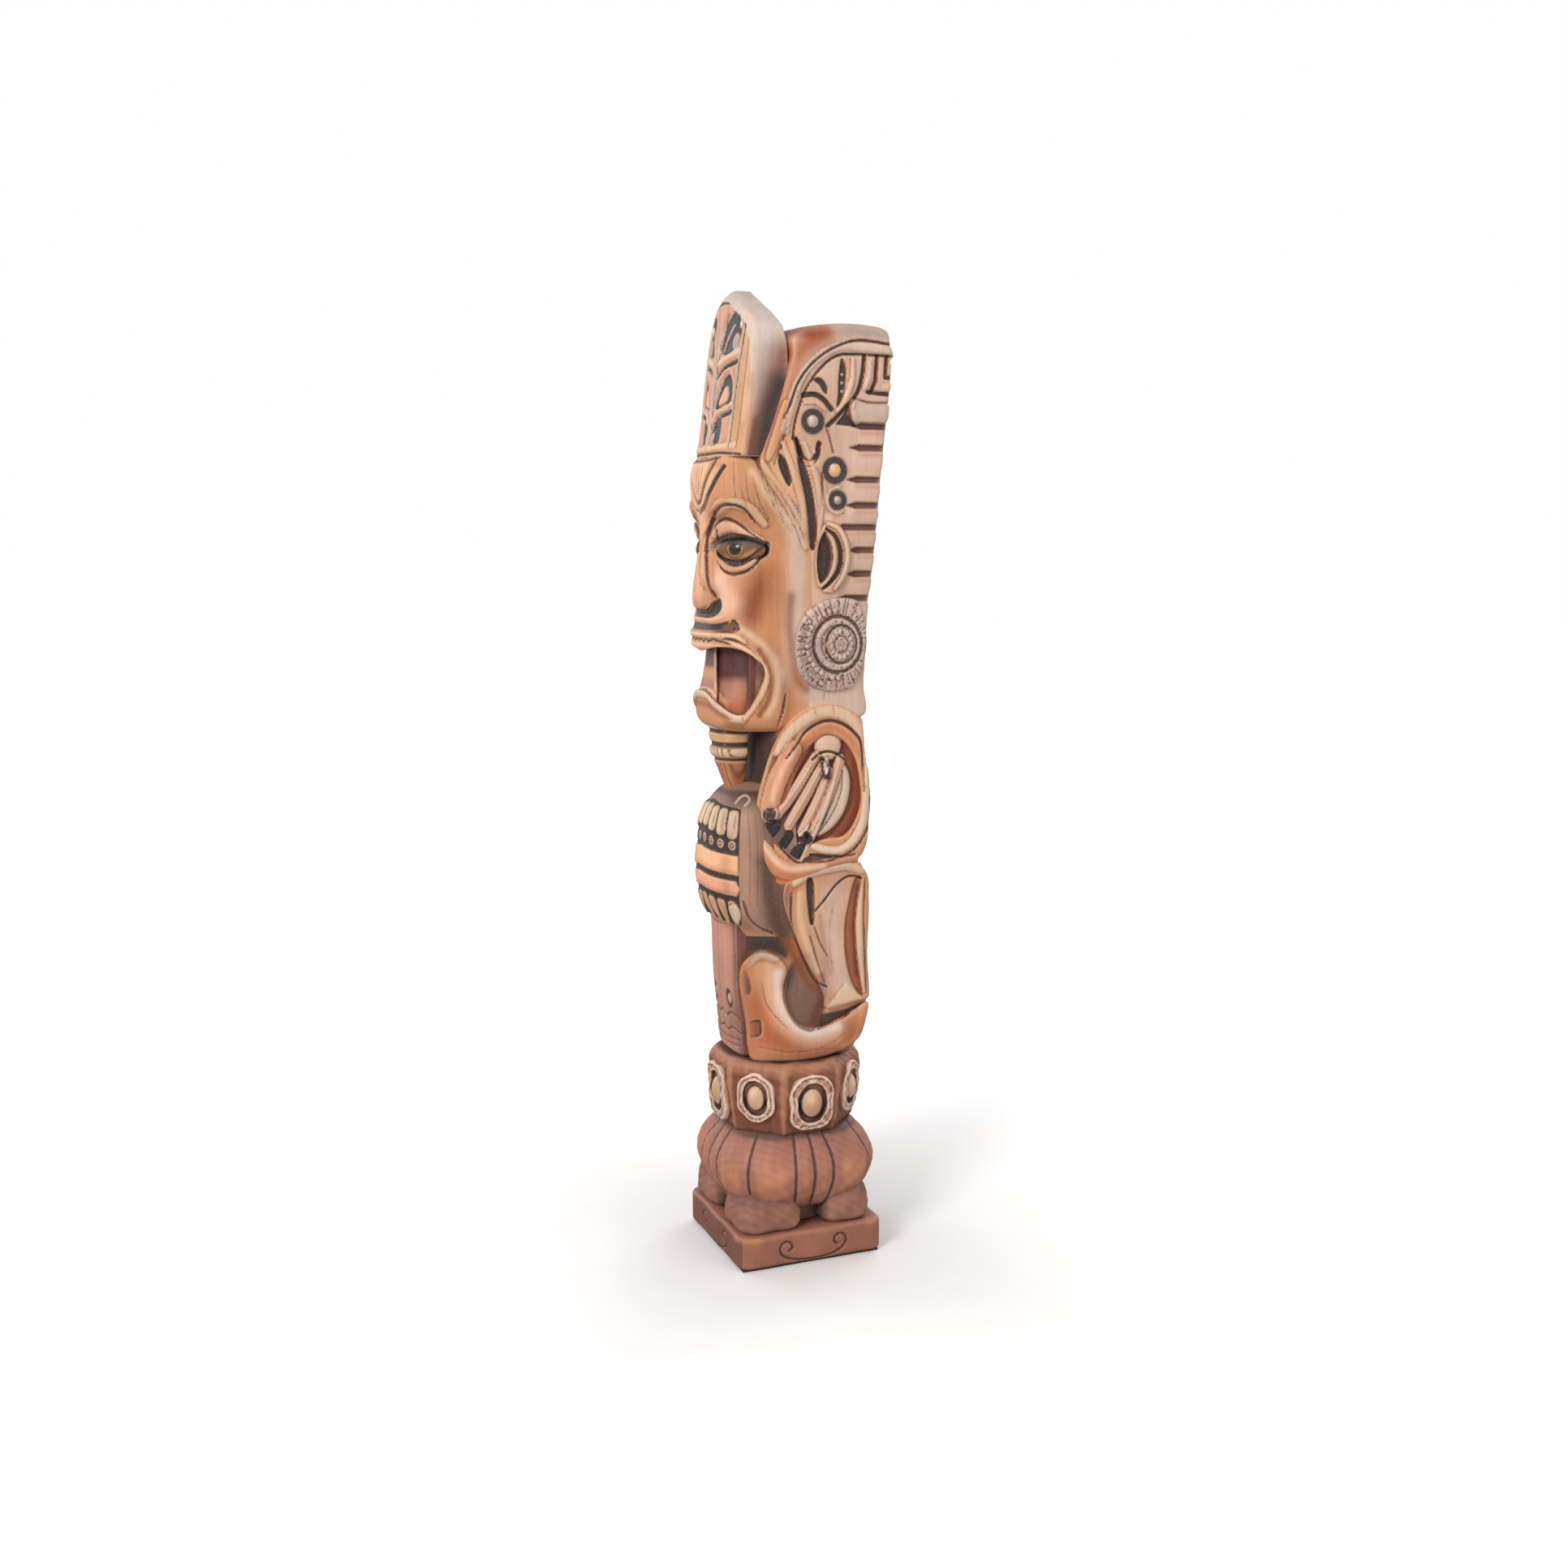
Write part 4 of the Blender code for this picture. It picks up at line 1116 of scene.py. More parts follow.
def arm_sheet():
    """Side drawing of arm, hand and the torso behind them."""
    sheet = Sheet((-62, 196), (52, 298), HONEY)
    opening = [(-16, 238), (-10, 254), (-4, 268), (4, 275), (13, 275), (21, 270), (27, 256), (28.5, 242),
               (25, 229), (18, 222.5), (8, 222), (-6, 212), (-14, 217)]
    sheet.patch(opening, 0, linear(142, 76, 50), 1)
    # Painted shade on the neck, between beard and arm.
    sheet.glow([(-35, 290), (-33, 262), (-29, 247)], 6, linear(58, 48, 48), 0.97)
    # upper arm and forearm
    # Painted shade along both edges of the upper arm.
    sheet.glow([(-28, 244), (-22, 260), (-14, 274)], 4.5, linear(132, 66, 42), 0.85)
    sheet.glow([(-15, 241), (-9, 256), (-3, 270)], 3, linear(150, 76, 48), 0.85)
    sheet.ridge([(-22, 240), (-17, 254), (-9, 268)], 11, 2.4, linear(206, 132, 98), 0.7, 0.1)
    # Painted highlight down the middle of the upper arm.
    sheet.glow([(-20.5, 244), (-16, 256), (-10, 266)], 2.0, linear(240, 184, 152), 0.9)
    sheet.glow([(-31, 234), (-28, 214), (-18, 204), (0, 204), (18, 208)], 6, linear(196, 106, 58), 0.9)
    sheet.ridge([(-31, 234), (-27, 222), (-20, 211.5), (-10, 206.4), (6, 206.6), (24, 211)], 9.5, 1.6,
                linear(198, 124, 82), 0.6, 0.2)
    # Painted highlight along the top of the forearm.
    sheet.glow([(-29.5, 231), (-25, 221), (-17.5, 211.5), (-9, 207.6), (8, 208)], 1.7,
               linear(240, 198, 166), 0.9)
    sheet.line([(-29, 233), (-22, 226), (-15, 218), (-8, 211.5), (-3, 210.5), (10, 210.4), (25, 213)], 1.1,
               0.9)
    sheet.patch([(-4, 211), (2, 214.6), (10, 213.4), (20, 213.2), (27, 218), (20, 212.6), (10, 211.4)],
                -1.4, INK, 0.9)
    # arches
    sheet.ridge([(-18, 268), (-10, 277.5), (0, 284.2), (9, 286.6), (18, 285), (26, 279), (31, 266),
                 (32, 250)], 6.5, 1.1, CREAM, 0.85, 0.1)
    sheet.line([(-12.5, 264), (-6.6, 271), (-2.5, 276.7), (4.2, 280.7), (10.8, 281.9), (18.3, 279.8),
                (25, 274.8), (28.3, 269), (29.5, 255), (30, 245)], 1.5, 1.1, taper=0.3)
    sheet.glow([(-2, 271), (8, 278), (18, 276), (26, 264)], 2.2, ORANGE, 0.7)
    sheet.ridge([(2, 218.6), (10, 216), (18, 216), (25, 221), (30, 231), (31, 244), (31, 256)], 4.8, 1.0,
                linear(236, 212, 186), 1, 0.15)
    sheet.line([(0, 214.6), (10, 212.6), (19, 212.4), (27, 217.5), (33, 229), (33.6, 242)], 1.0, 0.8)
    for x in (-8, 2, 12, 22):
        sheet.line([(x, 292), (x + 1.5, 284)], 0.6, 0.3, RUST, 0.4, 0.6)
    return sheet


FINGERS = (
    ((3.2, 264), (-7, 249), (-17.5, 236)),
    ((6.6, 259), (-2.5, 244), (-11.5, 230)),
    ((10.6, 256), (4, 241), (-4, 226.5)),
    ((16.6, 262), (11, 245), (1.5, 226.5)),
)


def hand_sheet():
    """Fan of five fingers with black nails, and a leaf beside them."""
    sheet = Sheet((-34, 204), (34, 284), linear(112, 64, 50))
    leaf = [(17.5, 261), (21.5, 254), (21.5, 244), (18, 234), (11, 226.5), (3, 224), (8, 234), (13, 246),
            (16, 256)]
    sheet.patch(leaf, 1.8, linear(218, 192, 170), 1, 1.6)
    sheet.line([(18, 256), (17, 245), (12, 234), (6, 226)], 0.7, 0.4, BROWN, 0.6)
    for finger in FINGERS:
        sheet.ridge(finger, 6.6, 2.6, linear(218, 164, 136), 0.95, 0.12, level=0.4)
    for finger in FINGERS:
        sheet.ridge(finger, 1.6, 0.3, linear(238, 204, 180), 0.8, 0.5)
    sheet.ridge([(13.4, 250), (7, 234), (-4.5, 211.5)], 2.8, 2.2, linear(230, 206, 186), 1, 0.2, level=1.4)
    sheet.ridge([(-1, 229), (-5.4, 224.6)], 2.4, 1.6, WHITE, 1, 0.2, level=1.6)
    sheet.dome((9.6, 270), (7.6, 8.4), 3.8, linear(226, 188, 162), 1)
    sheet.patch([(4.6, 264.6), (7.4, 252.4), (11.4, 251.6), (12, 262.4)], 1.2, INK, 1, 0.8, bend=False)
    sheet.ridge([(9.2, 262.6), (8.9, 255.6)], 3.0, 1.2, WHITE, 1, 0.3)
    sheet.line([(1.6, 262.6), (5.4, 265.6), (11, 266.2), (17, 263.6), (24, 257)], 1.3, 1.2)
    sheet.dome((-21.8, 236.4), (5.0, 4.9), 4.2, linear(214, 172, 126), 1)
    sheet.dome((-21.8, 236.4), (3.7, 3.6), 1.0, INK, 1)
    for nail in (((-25, 231), (-20, 234), (-15.5, 231), (-20, 223.5)),
                 ((-18, 222), (-12, 228), (-8.5, 224.5), (-14, 216.5)),
                 ((-12.5, 215.5), (-6, 221), (-2.5, 218), (-8, 210)),
                 ((-4, 225.5), (-0.5, 226.5), (2, 221.5), (-2.5, 219.5))):
        sheet.patch(nail, 2.6, linear(48, 42, 44), 1, 1.2)
    return sheet


def make_upper_body(finish):
    side, back = arm_sheet(), back_sheet(196, 300, HONEY)

    def core(x, y, z):
        plan = trunk(x, y, 29.8, -19, chest_back(z) - 0.4, 3, corner=4)
        return meet(plan, slab(z, 211.9, 284), 2)

    torso = Carving((0, -24, 210), (34, 40, 286), core)
    torso.relief(back=back)
    # The dark ground is painted shade: the torso shows only at the neck, behind the beard and the arms.
    torso.finish("torso", finish, side, None, back, base=linear(78, 58, 54))

    outer = Outline([(-33, 226), (-31, 213), (-27, 205), (-20, 200.6), (-11, 200), (0, 204), (12, 207.5),
                     (25, 210), (35, 215), (38, 230), (38, 250), (36, 272), (30, 281.5), (21, 288.5),
                     (10, 291), (-2, 288.8), (-12, 282), (-20, 270), (-25.5, 255), (-29, 242)])
    inner = Outline([(-13.5, 241), (-9, 253), (-2.5, 266.5), (5, 273), (12, 274), (19, 270.5), (25, 262),
                     (27.5, 250), (28, 240), (24.5, 229.5), (18, 222.8), (9, 222), (1, 219.5), (-5.5, 212.4),
                     (-14, 219), (-21, 226.6), (-27.5, 233.5), (-23.5, 239.5), (-18, 240)])

    def ring(x, y, z):
        shell = side_shell(outer, chest_plan, 7)(x, y, z)
        return remove(shell, inner.gap(x, y, z), 1.4)

    def build_arm(name):
        carving = Carving((12, -40, 198), (37, 41, 294), ring, mirrored=False)
        carving.relief(side)
        return carving.finish(name, finish, side, None, back)

    both_sides("arm", build_arm)

    fan = hand_sheet()
    palm = Outline([(-27, 236), (-24.6, 241.6), (-17, 243.5), (-9, 252), (-3, 263), (2, 273), (9, 277.6),
                    (16, 274), (20, 263), (24, 252), (23.5, 240), (18, 230), (10, 222.4), (1, 221),
                    (-3.4, 213), (-7, 209), (-13, 213), (-20, 221.4), (-25.5, 229)])

    def pad(x, y, z):
        plan = trunk(x, y, 30.2, -32, chest_back(z), 2.7)
        return meet(np.maximum(plan, -5 - plan), palm.gap(x, y, z), 1.0)

    def build_hand(name):
        carving = Carving((14, -38, 206), (38, 30, 281), pad, step=FINE * 0.85, mirrored=False)
        carving.relief(fan)
        return carving.finish(name, finish, fan, fan, wear_and_highlight=0.4, grime_and_shade=0.6)

    both_sides("hand", build_hand)


def belly_half(z):
    return knots(z, (166, 26), (170, 29), (176, 30.6), (184, 31.6), (195, 32.2), (210, 32.4), (226, 31.5),
                 (238, 29), (245, 25), (250, 19))


def belly_front(z):
    return knots(z, (170, -33), (176, -37.5), (184, -42), (195, -45), (206, -46), (218, -45), (230, -43.5),
                 (240, -38.5), (246, -32), (250, -24))


def belly_plan(x, y, z):
    return trunk(x, y, belly_half(z), belly_front(z), 8, 2.4)


def make_belly(finish):
    side = Sheet((-66, 160), (10, 256), BROWN)
    # Painted light and shade across the flank: lighter towards the front, darker towards the arm and thigh.
    side.glow([(-36, 235), (-34, 205), (-36, 190)], 6, linear(186, 142, 118), 0.8)
    side.glow([(-18, 240), (-17, 200), (-14, 180)], 6, linear(108, 76, 60), 0.8)
    side.glow([(-24, 212), (-20, 186), (-15, 174)], 5, linear(84, 60, 52), 0.9)
    side.glow([(-50, 186), (-40, 179), (-30, 174.6), (-20, 172)], 2.2, linear(204, 144, 96), 0.95)
    side.line([(-36, 193), (-33, 185), (-28, 179.6), (-20, 175.4)], 1.0, 0.7, DARK_RUST, 0.9)
    # Painted shadow under the belly's rim.
    side.glow([(-56, 181), (-41, 173.6), (-29, 169.6), (-15, 167)], 2.2, linear(56, 42, 38), 1)
    # Painted shade over the top of the belly, under the beard and arms.
    side.glow([(-60, 252), (-40, 250), (-22, 246), (-16, 236)], 8.5, linear(72, 56, 52), 0.95)
    side.line([(-40, 243), (-37, 246), (-34, 246.5), (-32.5, 244), (-35, 241.5)], 0.9, -0.5, CREAM, 0.9)
    for u in (-33, -29, -25, -21):
        side.line([(u, 238), (u + 1, 215), (u + 0.5, 190)], 0.7, 0.25, DARK_RUST, 0.35, 0.7)
    front = Sheet((0, 160), (40, 256), BROWN)
    front.glow([(0, 179), (14, 178), (26, 174)], 2.2, linear(204, 144, 96), 0.95)
    # Painted shadow under the belly's rim.
    front.glow([(0, 174), (14, 173), (28, 169)], 2.0, linear(56, 42, 38), 1)
    front.line([(0, 181), (14, 182), (24, 187)], 1.2, 0.8)

    def shape(x, y, z):
        bottom = 168.4 + 0.42 * np.maximum(-28 - y, 0)
        return meet(np.maximum(belly_plan(x, y, z), y + 6), np.maximum(bottom - z, z - 249), 3)

    belly = Carving((0, -50, 165), (36, -4, 252), shape)
    belly.relief(side, front)
    belly.finish("belly", finish, side, front, base=BROWN, highlight=linear(196, 158, 136))


BAND_SLOPE = 0.1
PLATE_REACH = 30.0  # from the middle round to the edge, along the belly


def banded(x, y, z):
    """Breastplate drawing, wrapped round the belly; its bands sink towards the flanks."""
    reach = 33 * np.arctan2(np.abs(x), -y - 15)
    return reach, z + BAND_SLOPE * reach


def make_breastplate(finish):
    sheet = Sheet((0, 170), (44, 256), linear(60, 50, 50))
    sheet.patch([(-4, 217), (29.2, 217), (29.2, 207.4), (-4, 207.4)], 0.8, linear(246, 182, 138), 1, 0.7,
                bend=False)
    sheet.patch([(-4, 204), (28, 204), (30, 200.2), (28, 196.4), (-4, 196.4)], 0.8, linear(244, 172, 138),
                1, 0.7, bend=False)
    sheet.glow([(0, 208.6), (30, 208.6)], 1.3, linear(216, 130, 90), 0.6)
    sheet.glow([(0, 197.6), (28, 197.6)], 1.0, linear(200, 112, 86), 0.6)
    pitch = 7.3
    for index in range(4):
        centre = (index + 0.5) * pitch
        foot = 229 - 0.8 * index
        tooth = [(centre - 2.5, foot - 0.6), (centre - 3.1, 235), (centre - 2.6, 238.6),
                 (centre + 2.2, 239.2), (centre + 3.1, 235), (centre + 2.6, foot)]
        sheet.patch(tooth, 1.1, linear(214, 176, 140), 1, 0.6)
        # Painted highlight down one side of each tooth, and a painted shade line down the other.
        sheet.glow([(centre - 1.2, 237), (centre - 1, 229)], 1.0, linear(240, 216, 188), 0.9)
        sheet.line([(centre + 1.4, 237), (centre + 1.2, 231)], 0.6, 0.3, BROWN, 0.5, 0.5)
        sheet.dome((centre, 222), (2.2, 2.4), 0.7, linear(206, 158, 124), 1)
        sheet.dome((centre, 222), (1.2, 1.4), -0.5, linear(50, 42, 42), 1)
        sheet.dome((centre, 222), (0.6, 0.6), 0.5, CREAM, 1)
        lean = 3.0 - index
        drop = [(centre - 2.6, 192.6), (centre + 2.2, 192.6), (centre + 2.8 + lean / 2, 186),
                (centre + 2.4 + lean, 177), (centre - 0.4 + lean, 182), (centre - 1.6, 187)]
        sheet.patch(drop, 1.0, linear(206, 150, 110), 1, 0.8)
    sheet.patch([(23.6, 190), (28, 192), (30, 187), (28, 181.6), (25, 184)], 1.6, CREAM, 1, 0.8)

    def shape(x, y, z):
        outer = belly_plan(x, y, z) - 0.4
        reach, level = banded(x, y, z)
        body = meet(np.maximum(outer, -3.5 - outer), slab(level, 180.5, 240.6), 1.0)
        return meet(body, reach - PLATE_REACH, 1.5)

    plate = Carving((0, -52, 170), (34, -14, 244), shape, step=FINE * 0.9)
    plate.relief(sheet, sheet, None, banded)
    plate.finish("breastplate", finish, sheet, sheet, None, banded, linear(60, 50, 50), CREAM, INK, 0.35, 0.7)


def make_beard(finish):
    sheet = Sheet((0, 244), (30, 286), HONEY)
    for low, high, paint in ((277, 286, CREAM), (274.6, 277, INK), (270.2, 274.6, GOLD), (267.6, 270.2, INK),
                             (262, 267.6, linear(166, 112, 84)), (260.4, 262, INK),
                             (244, 260.4, linear(186, 118, 80))):
        sheet.patch([(-3, low), (30, low), (30, high), (-3, high)], -0.5 if paint == INK else 0.5, paint, 1,
                    0.5, bend=False)
    for index in range(5):
        sheet.dome((1.4 + index * 2.8, 264.9), (1.25, 2.3), 0.8, CREAM, 0.9)
    for index in range(4):
        sheet.line([(1.6 + index * 2.4, 259), (0.8 + index * 1.4, 246)], 0.6, 0.3, RUST, 0.5)

    def shape(x, y, z):
        half = knots(z, (243, 2.4), (250, 5.4), (257, 8.6), (262, 11), (272, 13), (280, 15))
        front = knots(z, (243, -30.5), (250, -33.5), (257, -36), (262, -38), (272, -39.4), (280, -40.8))
        return meet(column(x, y + 28, half, front + 28, 6, 0, 2.4), slab(z, 243.6, 279.5), 2)

    beard = Carving((0, -44, 241), (18, -18, 282), shape, step=FINE * 0.8)
    beard.relief(sheet, sheet, None, lambda x, y, z: (np.abs(x), z))
    beard.finish("beard", finish, sheet, sheet, None, lambda x, y, z: (np.abs(x), z))


# -------------------------------------------------------------------- head

EYE_CENTRE = (23.9, -32.6, 366.9)
EYE_TURN = math.radians(49)
HOOD_GROUND = linear(212, 176, 154)


def head_half(z):
    return knots(z, (276, 27), (281, 31), (290, 33.4), (330, 34), (366, 33.8), (396, 33.8), (412, 33))


def head_front(z):
    return knots(z, (276, -39.5), (280, -43), (288, -44.8), (297, -44.8), (307, -43), (318, -45.8),
                 (326, -46.4), (332, -44.6), (345, -43.4), (366, -42.6), (378, -43), (388, -45.6),
                 (398, -46.2), (412, -45))


def head_plan(x, y, z):
    return trunk(x, y, head_half(z), head_front(z), 30, 3.0)


def nose_form(x, y, z):
    half = knots(z, (334, 10), (340, 12.5), (348, 12), (362, 8.8), (378, 6.5), (392, 6.5))
    front = knots(z, (334, -46.2), (340, -48.0), (348, -48.2), (362, -46.6), (376, -45.0), (392, -45.6))
    return meet(column(x, y + 34, half, front + 34, 10, 0, 2.8), slab(z, 335.5, 392), 3.0)


class Wrap:
    """Draws side-sheet figures on the front sheet too, where the rounded face carries them over."""

    def __init__(self, side, front):
        self.side, self.front = side, front

    def to_front(self, points):
        """Front-sheet places of side-sheet points."""
        places = []
        for u, v in points:
            z = v
            x = np.linspace(0, 33.5, 120)
            for _ in range(2):
                y = head_front(z) * (1 - (x / 34) ** 3) ** (1 / 3)
                seen_u, _ = sight(x, y, z)
                reach = float(np.interp(u, seen_u, x, left=-3))
                z = VIEWER[2] + (v - VIEWER[2]) * (VIEWER[0] - reach) / (VIEWER[0] - SIDE_PLANE)
            places.append((reach, float(z)))
        return places

    def __getattr__(self, tool):
        def draw(points, *settings, **more):
            getattr(self.side, tool)(points, *settings, **more)
            if tool != "patch":  # the first setting is a width, and the front is seen aslant
                settings = (1.4 * settings[0], *settings[1:])
            getattr(self.front, tool)(self.to_front(points), *settings, **more)

        return draw


def draw_forehead(side, front):
    """Painted and carved lines between brow and crest."""
    for u, v, du, dv in ((-40, 409, 1, -18), (-34, 405, 3, -18), (-27, 407, 12, -24), (-24, 403, 14, -28),
                         (-30, 402, 8, -20), (-45, 404, 0, -12), (-20, 396, 9, -18), (-36, 396, 3, -9)):
        side.line([(u, v), (u + 0.4 * du, v + 0.6 * dv), (u + du, v + dv)], 1.0, 0.35, BROWN, 0.5, 0.7)
    side.glow([(-30, 404), (-22, 392), (-12, 380)], 2.4, CREAM, 0.6, 0.5)
    side.glow([(-33, 392), (-22, 384)], 3, linear(186, 128, 84), 0.5)
    for sheet, points in (
        (side, [(-60, 412), (-50, 410), (-44, 413), (-36, 413), (-30, 411), (-26, 407)]),
        (side, [(-45, 407), (-52, 396), (-57, 386)]),
        (front, [(-2, 410.2), (10, 410.4), (20, 412), (32, 411.4)]),
        (front, [(22, 407), (15.5, 397), (7, 388), (0, 384.4)]),
        (front, [(16.5, 410), (9, 400), (3, 391), (0, 389.6)]),
    ):
        sheet.line(points, 1.7, 0.9)
    front.patch([(-2, 408), (13, 408.5), (7, 398.5), (2, 392), (-2, 392)], 0.5, PEACH, 0.9)
    front.line([(1.6, 407.5), (1.2, 394)], 0.8, 0.5, INK, 0.7)
    front.line([(6, 407.5), (3.4, 397)], 0.8, 0.4, INK, 0.55)
    front.glow([(18, 405), (11, 395), (4, 387.6)], 1.6, CREAM, 0.7, 0.5)


def draw_eye_lids(side, front):
    """Brow, crease and lids round the inlaid eye."""
    side = Wrap(side, front)
    side.glow([(-47, 367), (-34, 367)], 8.0, linear(206, 140, 94), 0.6, -1.2)
    # Painted highlight under the eye.
    side.glow([(-47, 352), (-43, 341)], 5.5, linear(242, 196, 166), 0.95, 0.4)
    side.glow([(-49, 378), (-40, 383), (-30, 380)], 3.5, linear(176, 116, 76), 0.6)
    side.ridge([(-50, 384), (-45, 388.4), (-38, 389), (-31, 386), (-24, 379)], 5.5, 1.6,
               linear(214, 162, 118), 0.6)
    side.ridge([(-50, 374), (-45.5, 377.5), (-40, 377.6), (-34, 374.8), (-25, 370.6)], 5.2, 2.0,
               linear(236, 178, 142), 0.9)
    side.ridge([(-49, 365), (-45.5, 359.6), (-40.5, 357.8), (-33.5, 359), (-27, 364)], 3.4, 1.4, HONEY, 0.9)
    side.line([(-53.5, 366), (-52.8, 376.7), (-49.6, 383), (-47.2, 386.6), (-44.2, 388.3), (-37.5, 387.6),
               (-33.3, 385.2), (-29.5, 380.5)], 1.5, 1.2, taper=0.5)
    side.line([(-51.6, 366), (-51.2, 373.3), (-49.2, 378.2), (-45.4, 381.3), (-40.8, 380.8), (-35.8, 378),
               (-30, 374), (-22.9, 369.6)], 1.2, 1.0, taper=0.4)
    side.line([(-50, 364), (-49, 372), (-47.8, 376.5)], 1.1, 0.8)
    side.line([(-49.8, 368), (-49.6, 362.5), (-45.8, 357.2), (-40.8, 355.2), (-33.3, 356.6), (-28.3, 360.4),
               (-25, 365.4)], 1.2, 0.9, taper=0.5)
    side.line([(-52.4, 368), (-47, 371.6), (-40, 373), (-31.7, 371.8), (-22.5, 369.4)], 3.6, 0.5, taper=0.35)
    side.line([(-49.4, 368), (-46.4, 363), (-41.4, 359.9), (-35.8, 360.3), (-29.2, 364.4), (-22.5, 369.6)],
              1.9, 0.6, taper=0.5)


def draw_nose_and_lips(side, front):
    both = Wrap(side, front)
    # A carved groove beside the nose, darkened along its length by a painted shadow.
    groove = [(-49.6, 385), (-51.6, 380.5), (-53.3, 374), (-54, 366.5), (-53.8, 358.6), (-52.8, 350),
              (-49.6, 344.6)]
    both.glow(groove, 2.6, linear(150, 88, 58), 0.8)
    both.line(groove, 2.2, 0.8, linear(82, 50, 44), 0.95, 0.45)
    # Painted highlight down the nose.
    front.glow([(3, 384), (3, 366), (5, 346)], 4.5, linear(238, 180, 142), 0.95)
    both.patch([(-62, 335.6), (-62, 339.6), (-54.8, 338.7), (-51, 342), (-47.6, 343.6), (-46.8, 339),
                (-49.4, 335.7), (-53.5, 334.4)], -1.0, linear(58, 44, 46), 1, 0.9)
    front.ridge([(0, 332.6), (14, 332.8), (22, 334.4)], 2.6, 0.5, linear(236, 184, 148), 0.8)
    front.patch([(-3, 327.2), (-3, 330), (14, 330.4), (21, 331.6), (26.5, 333), (29, 329.5), (27, 327.2),
                 (14, 327)], -0.7, linear(40, 32, 34), 1, 0.6)
    side.patch([(-62, 327.2), (-62, 330.4), (-50, 330.4), (-46.4, 331.8), (-42.6, 331.4), (-40.6, 333.4),
                (-37.4, 329.4), (-39, 327), (-48, 327)], -0.7, linear(40, 32, 34), 1, 0.6)
    front.ridge([(0, 324.6), (14, 324.8), (26, 325)], 2.6, 0.8, linear(236, 192, 152), 0.9, 0)
    side.ridge([(-62, 325), (-50, 325.2), (-40, 324.8), (-35, 322)], 2.8, 0.8, linear(236, 192, 152), 0.9,
               0.1)
    front.line([(0, 321.8), (3, 322.6), (6, 321.6), (9, 322.8), (12, 321.8), (16, 322.9), (20, 322),
                (26, 321)], 1.1, 0.7)
    front.ridge([(0, 319), (14, 319.2), (24, 318.4)], 3.0, 0.8, linear(236, 180, 142), 0.9, 0)
    front.ridge([(0, 295.4), (8, 295), (14, 292), (24, 286.8)], 5.4, 1.0, linear(230, 202, 174), 0.95, 0)
    front.glow([(0, 290), (10, 289.4), (17, 286), (27, 282)], 1.8, linear(150, 100, 68), 0.8)
    side.line([(-60, 321.6), (-57, 322.8), (-54, 322), (-51, 323.2), (-48, 322.6), (-44, 324), (-38, 322.4),
               (-31.7, 318.4), (-27.5, 314.4), (-24.6, 310.5)], 1.2, 0.8, taper=0.4)
    side.ridge([(-60, 319), (-50, 321.4), (-40, 321), (-32, 317.4), (-26.4, 312), (-23, 305), (-25.4, 297),
                (-30, 290), (-34.6, 284.6)], 3.2, 1.1, linear(232, 184, 146), 0.9, 0.1)
    side.ridge([(-61, 296.4), (-57, 296.6), (-53, 293.2), (-48.5, 289.6), (-43, 286), (-36, 284.4)], 5.2, 1.1,
               linear(230, 202, 174), 0.95, 0.1)
    side.glow([(-60, 290.6), (-54, 288), (-49, 284.4), (-43, 281.4), (-36, 280.4)], 1.6,
              linear(156, 104, 70), 0.8)


def draw_cheek(side):
    # Painted shade in the sunk cheek.
    side.glow([(-23, 354), (-28, 345), (-31, 336)], 8.5, linear(148, 80, 48), 1, -1.0)
    side.glow([(-22, 366), (-18, 345), (-18, 324)], 6, linear(192, 126, 80), 0.7)
    side.glow([(-20, 404), (-24, 392), (-16, 376)], 7, linear(186, 128, 82), 0.5)
    side.glow([(-38, 329), (-30, 324), (-23, 318), (-18.5, 311), (-17, 302), (-18, 293), (-22, 286)], 2.4,
              linear(214, 176, 142), 0.9, 1.2)
    side.glow([(-27, 318), (-21, 306), (-22, 294), (-27, 286)], 1.8, linear(160, 100, 62), 0.8, -0.6)
    side.line([(-13.3, 296), (-14.6, 288), (-17.5, 280)], 1.6, 0.9, RUST, 0.8, 0.6)
    side.glow([(-13, 303), (-12, 290), (-16, 280)], 3.4, linear(178, 108, 66), 0.7)
    # Painted highlight down the rounded side of the face.
    side.glow([(-9, 392), (-7, 370), (-7, 345), (-9, 322), (-13, 306)], 5.5, linear(216, 190, 172), 0.9, 0.4)
    side.glow([(2, 296), (10, 290), (20, 288)], 7, linear(208, 180, 166), 0.9)
    # Painted shade on the face along the left edge of the ear spool.
    side.glow([(-10, 344), (-11, 330), (-8, 306), (-2, 298)], 2.6, linear(134, 80, 58), 0.7)
    side.glow([(-16, 318), (-11, 305)], 4.5, linear(196, 128, 84), 0.5)
    side.line([(-26, 408), (-17, 396), (-8, 382), (-3, 372)], 1.2, 0.5, BROWN, 0.45, 0.7)


def draw_temple(side):
    """Rim lines of the hood where it runs down over the temple."""
    side.patch([(-16, 413), (-12.6, 408), (-10.6, 401), (-11.4, 397.4), (-15, 403), (-17, 409)], -1.6, INK, 1)
    side.patch([(-7.6, 421), (-3.4, 409), (0.6, 396), (2.8, 381), (2.2, 368), (0, 368), (-1.4, 380),
                (-3, 393), (-6.6, 408)], -2.0, INK, 1)
    side.ridge([(-26, 409), (-20, 400), (-13, 391), (-6, 379), (-2.4, 368)], 5, 1.1, linear(216, 164, 120),
               0.5)
    side.ridge([(-14.5, 418), (-9, 404), (-4.4, 390), (-2.4, 376)], 4.2, 1.0, linear(224, 176, 134), 0.7)
    side.ridge([(-3, 418), (3, 402), (5.4, 388), (4.4, 372)], 3.4, 0.9, linear(222, 184, 152), 0.7)


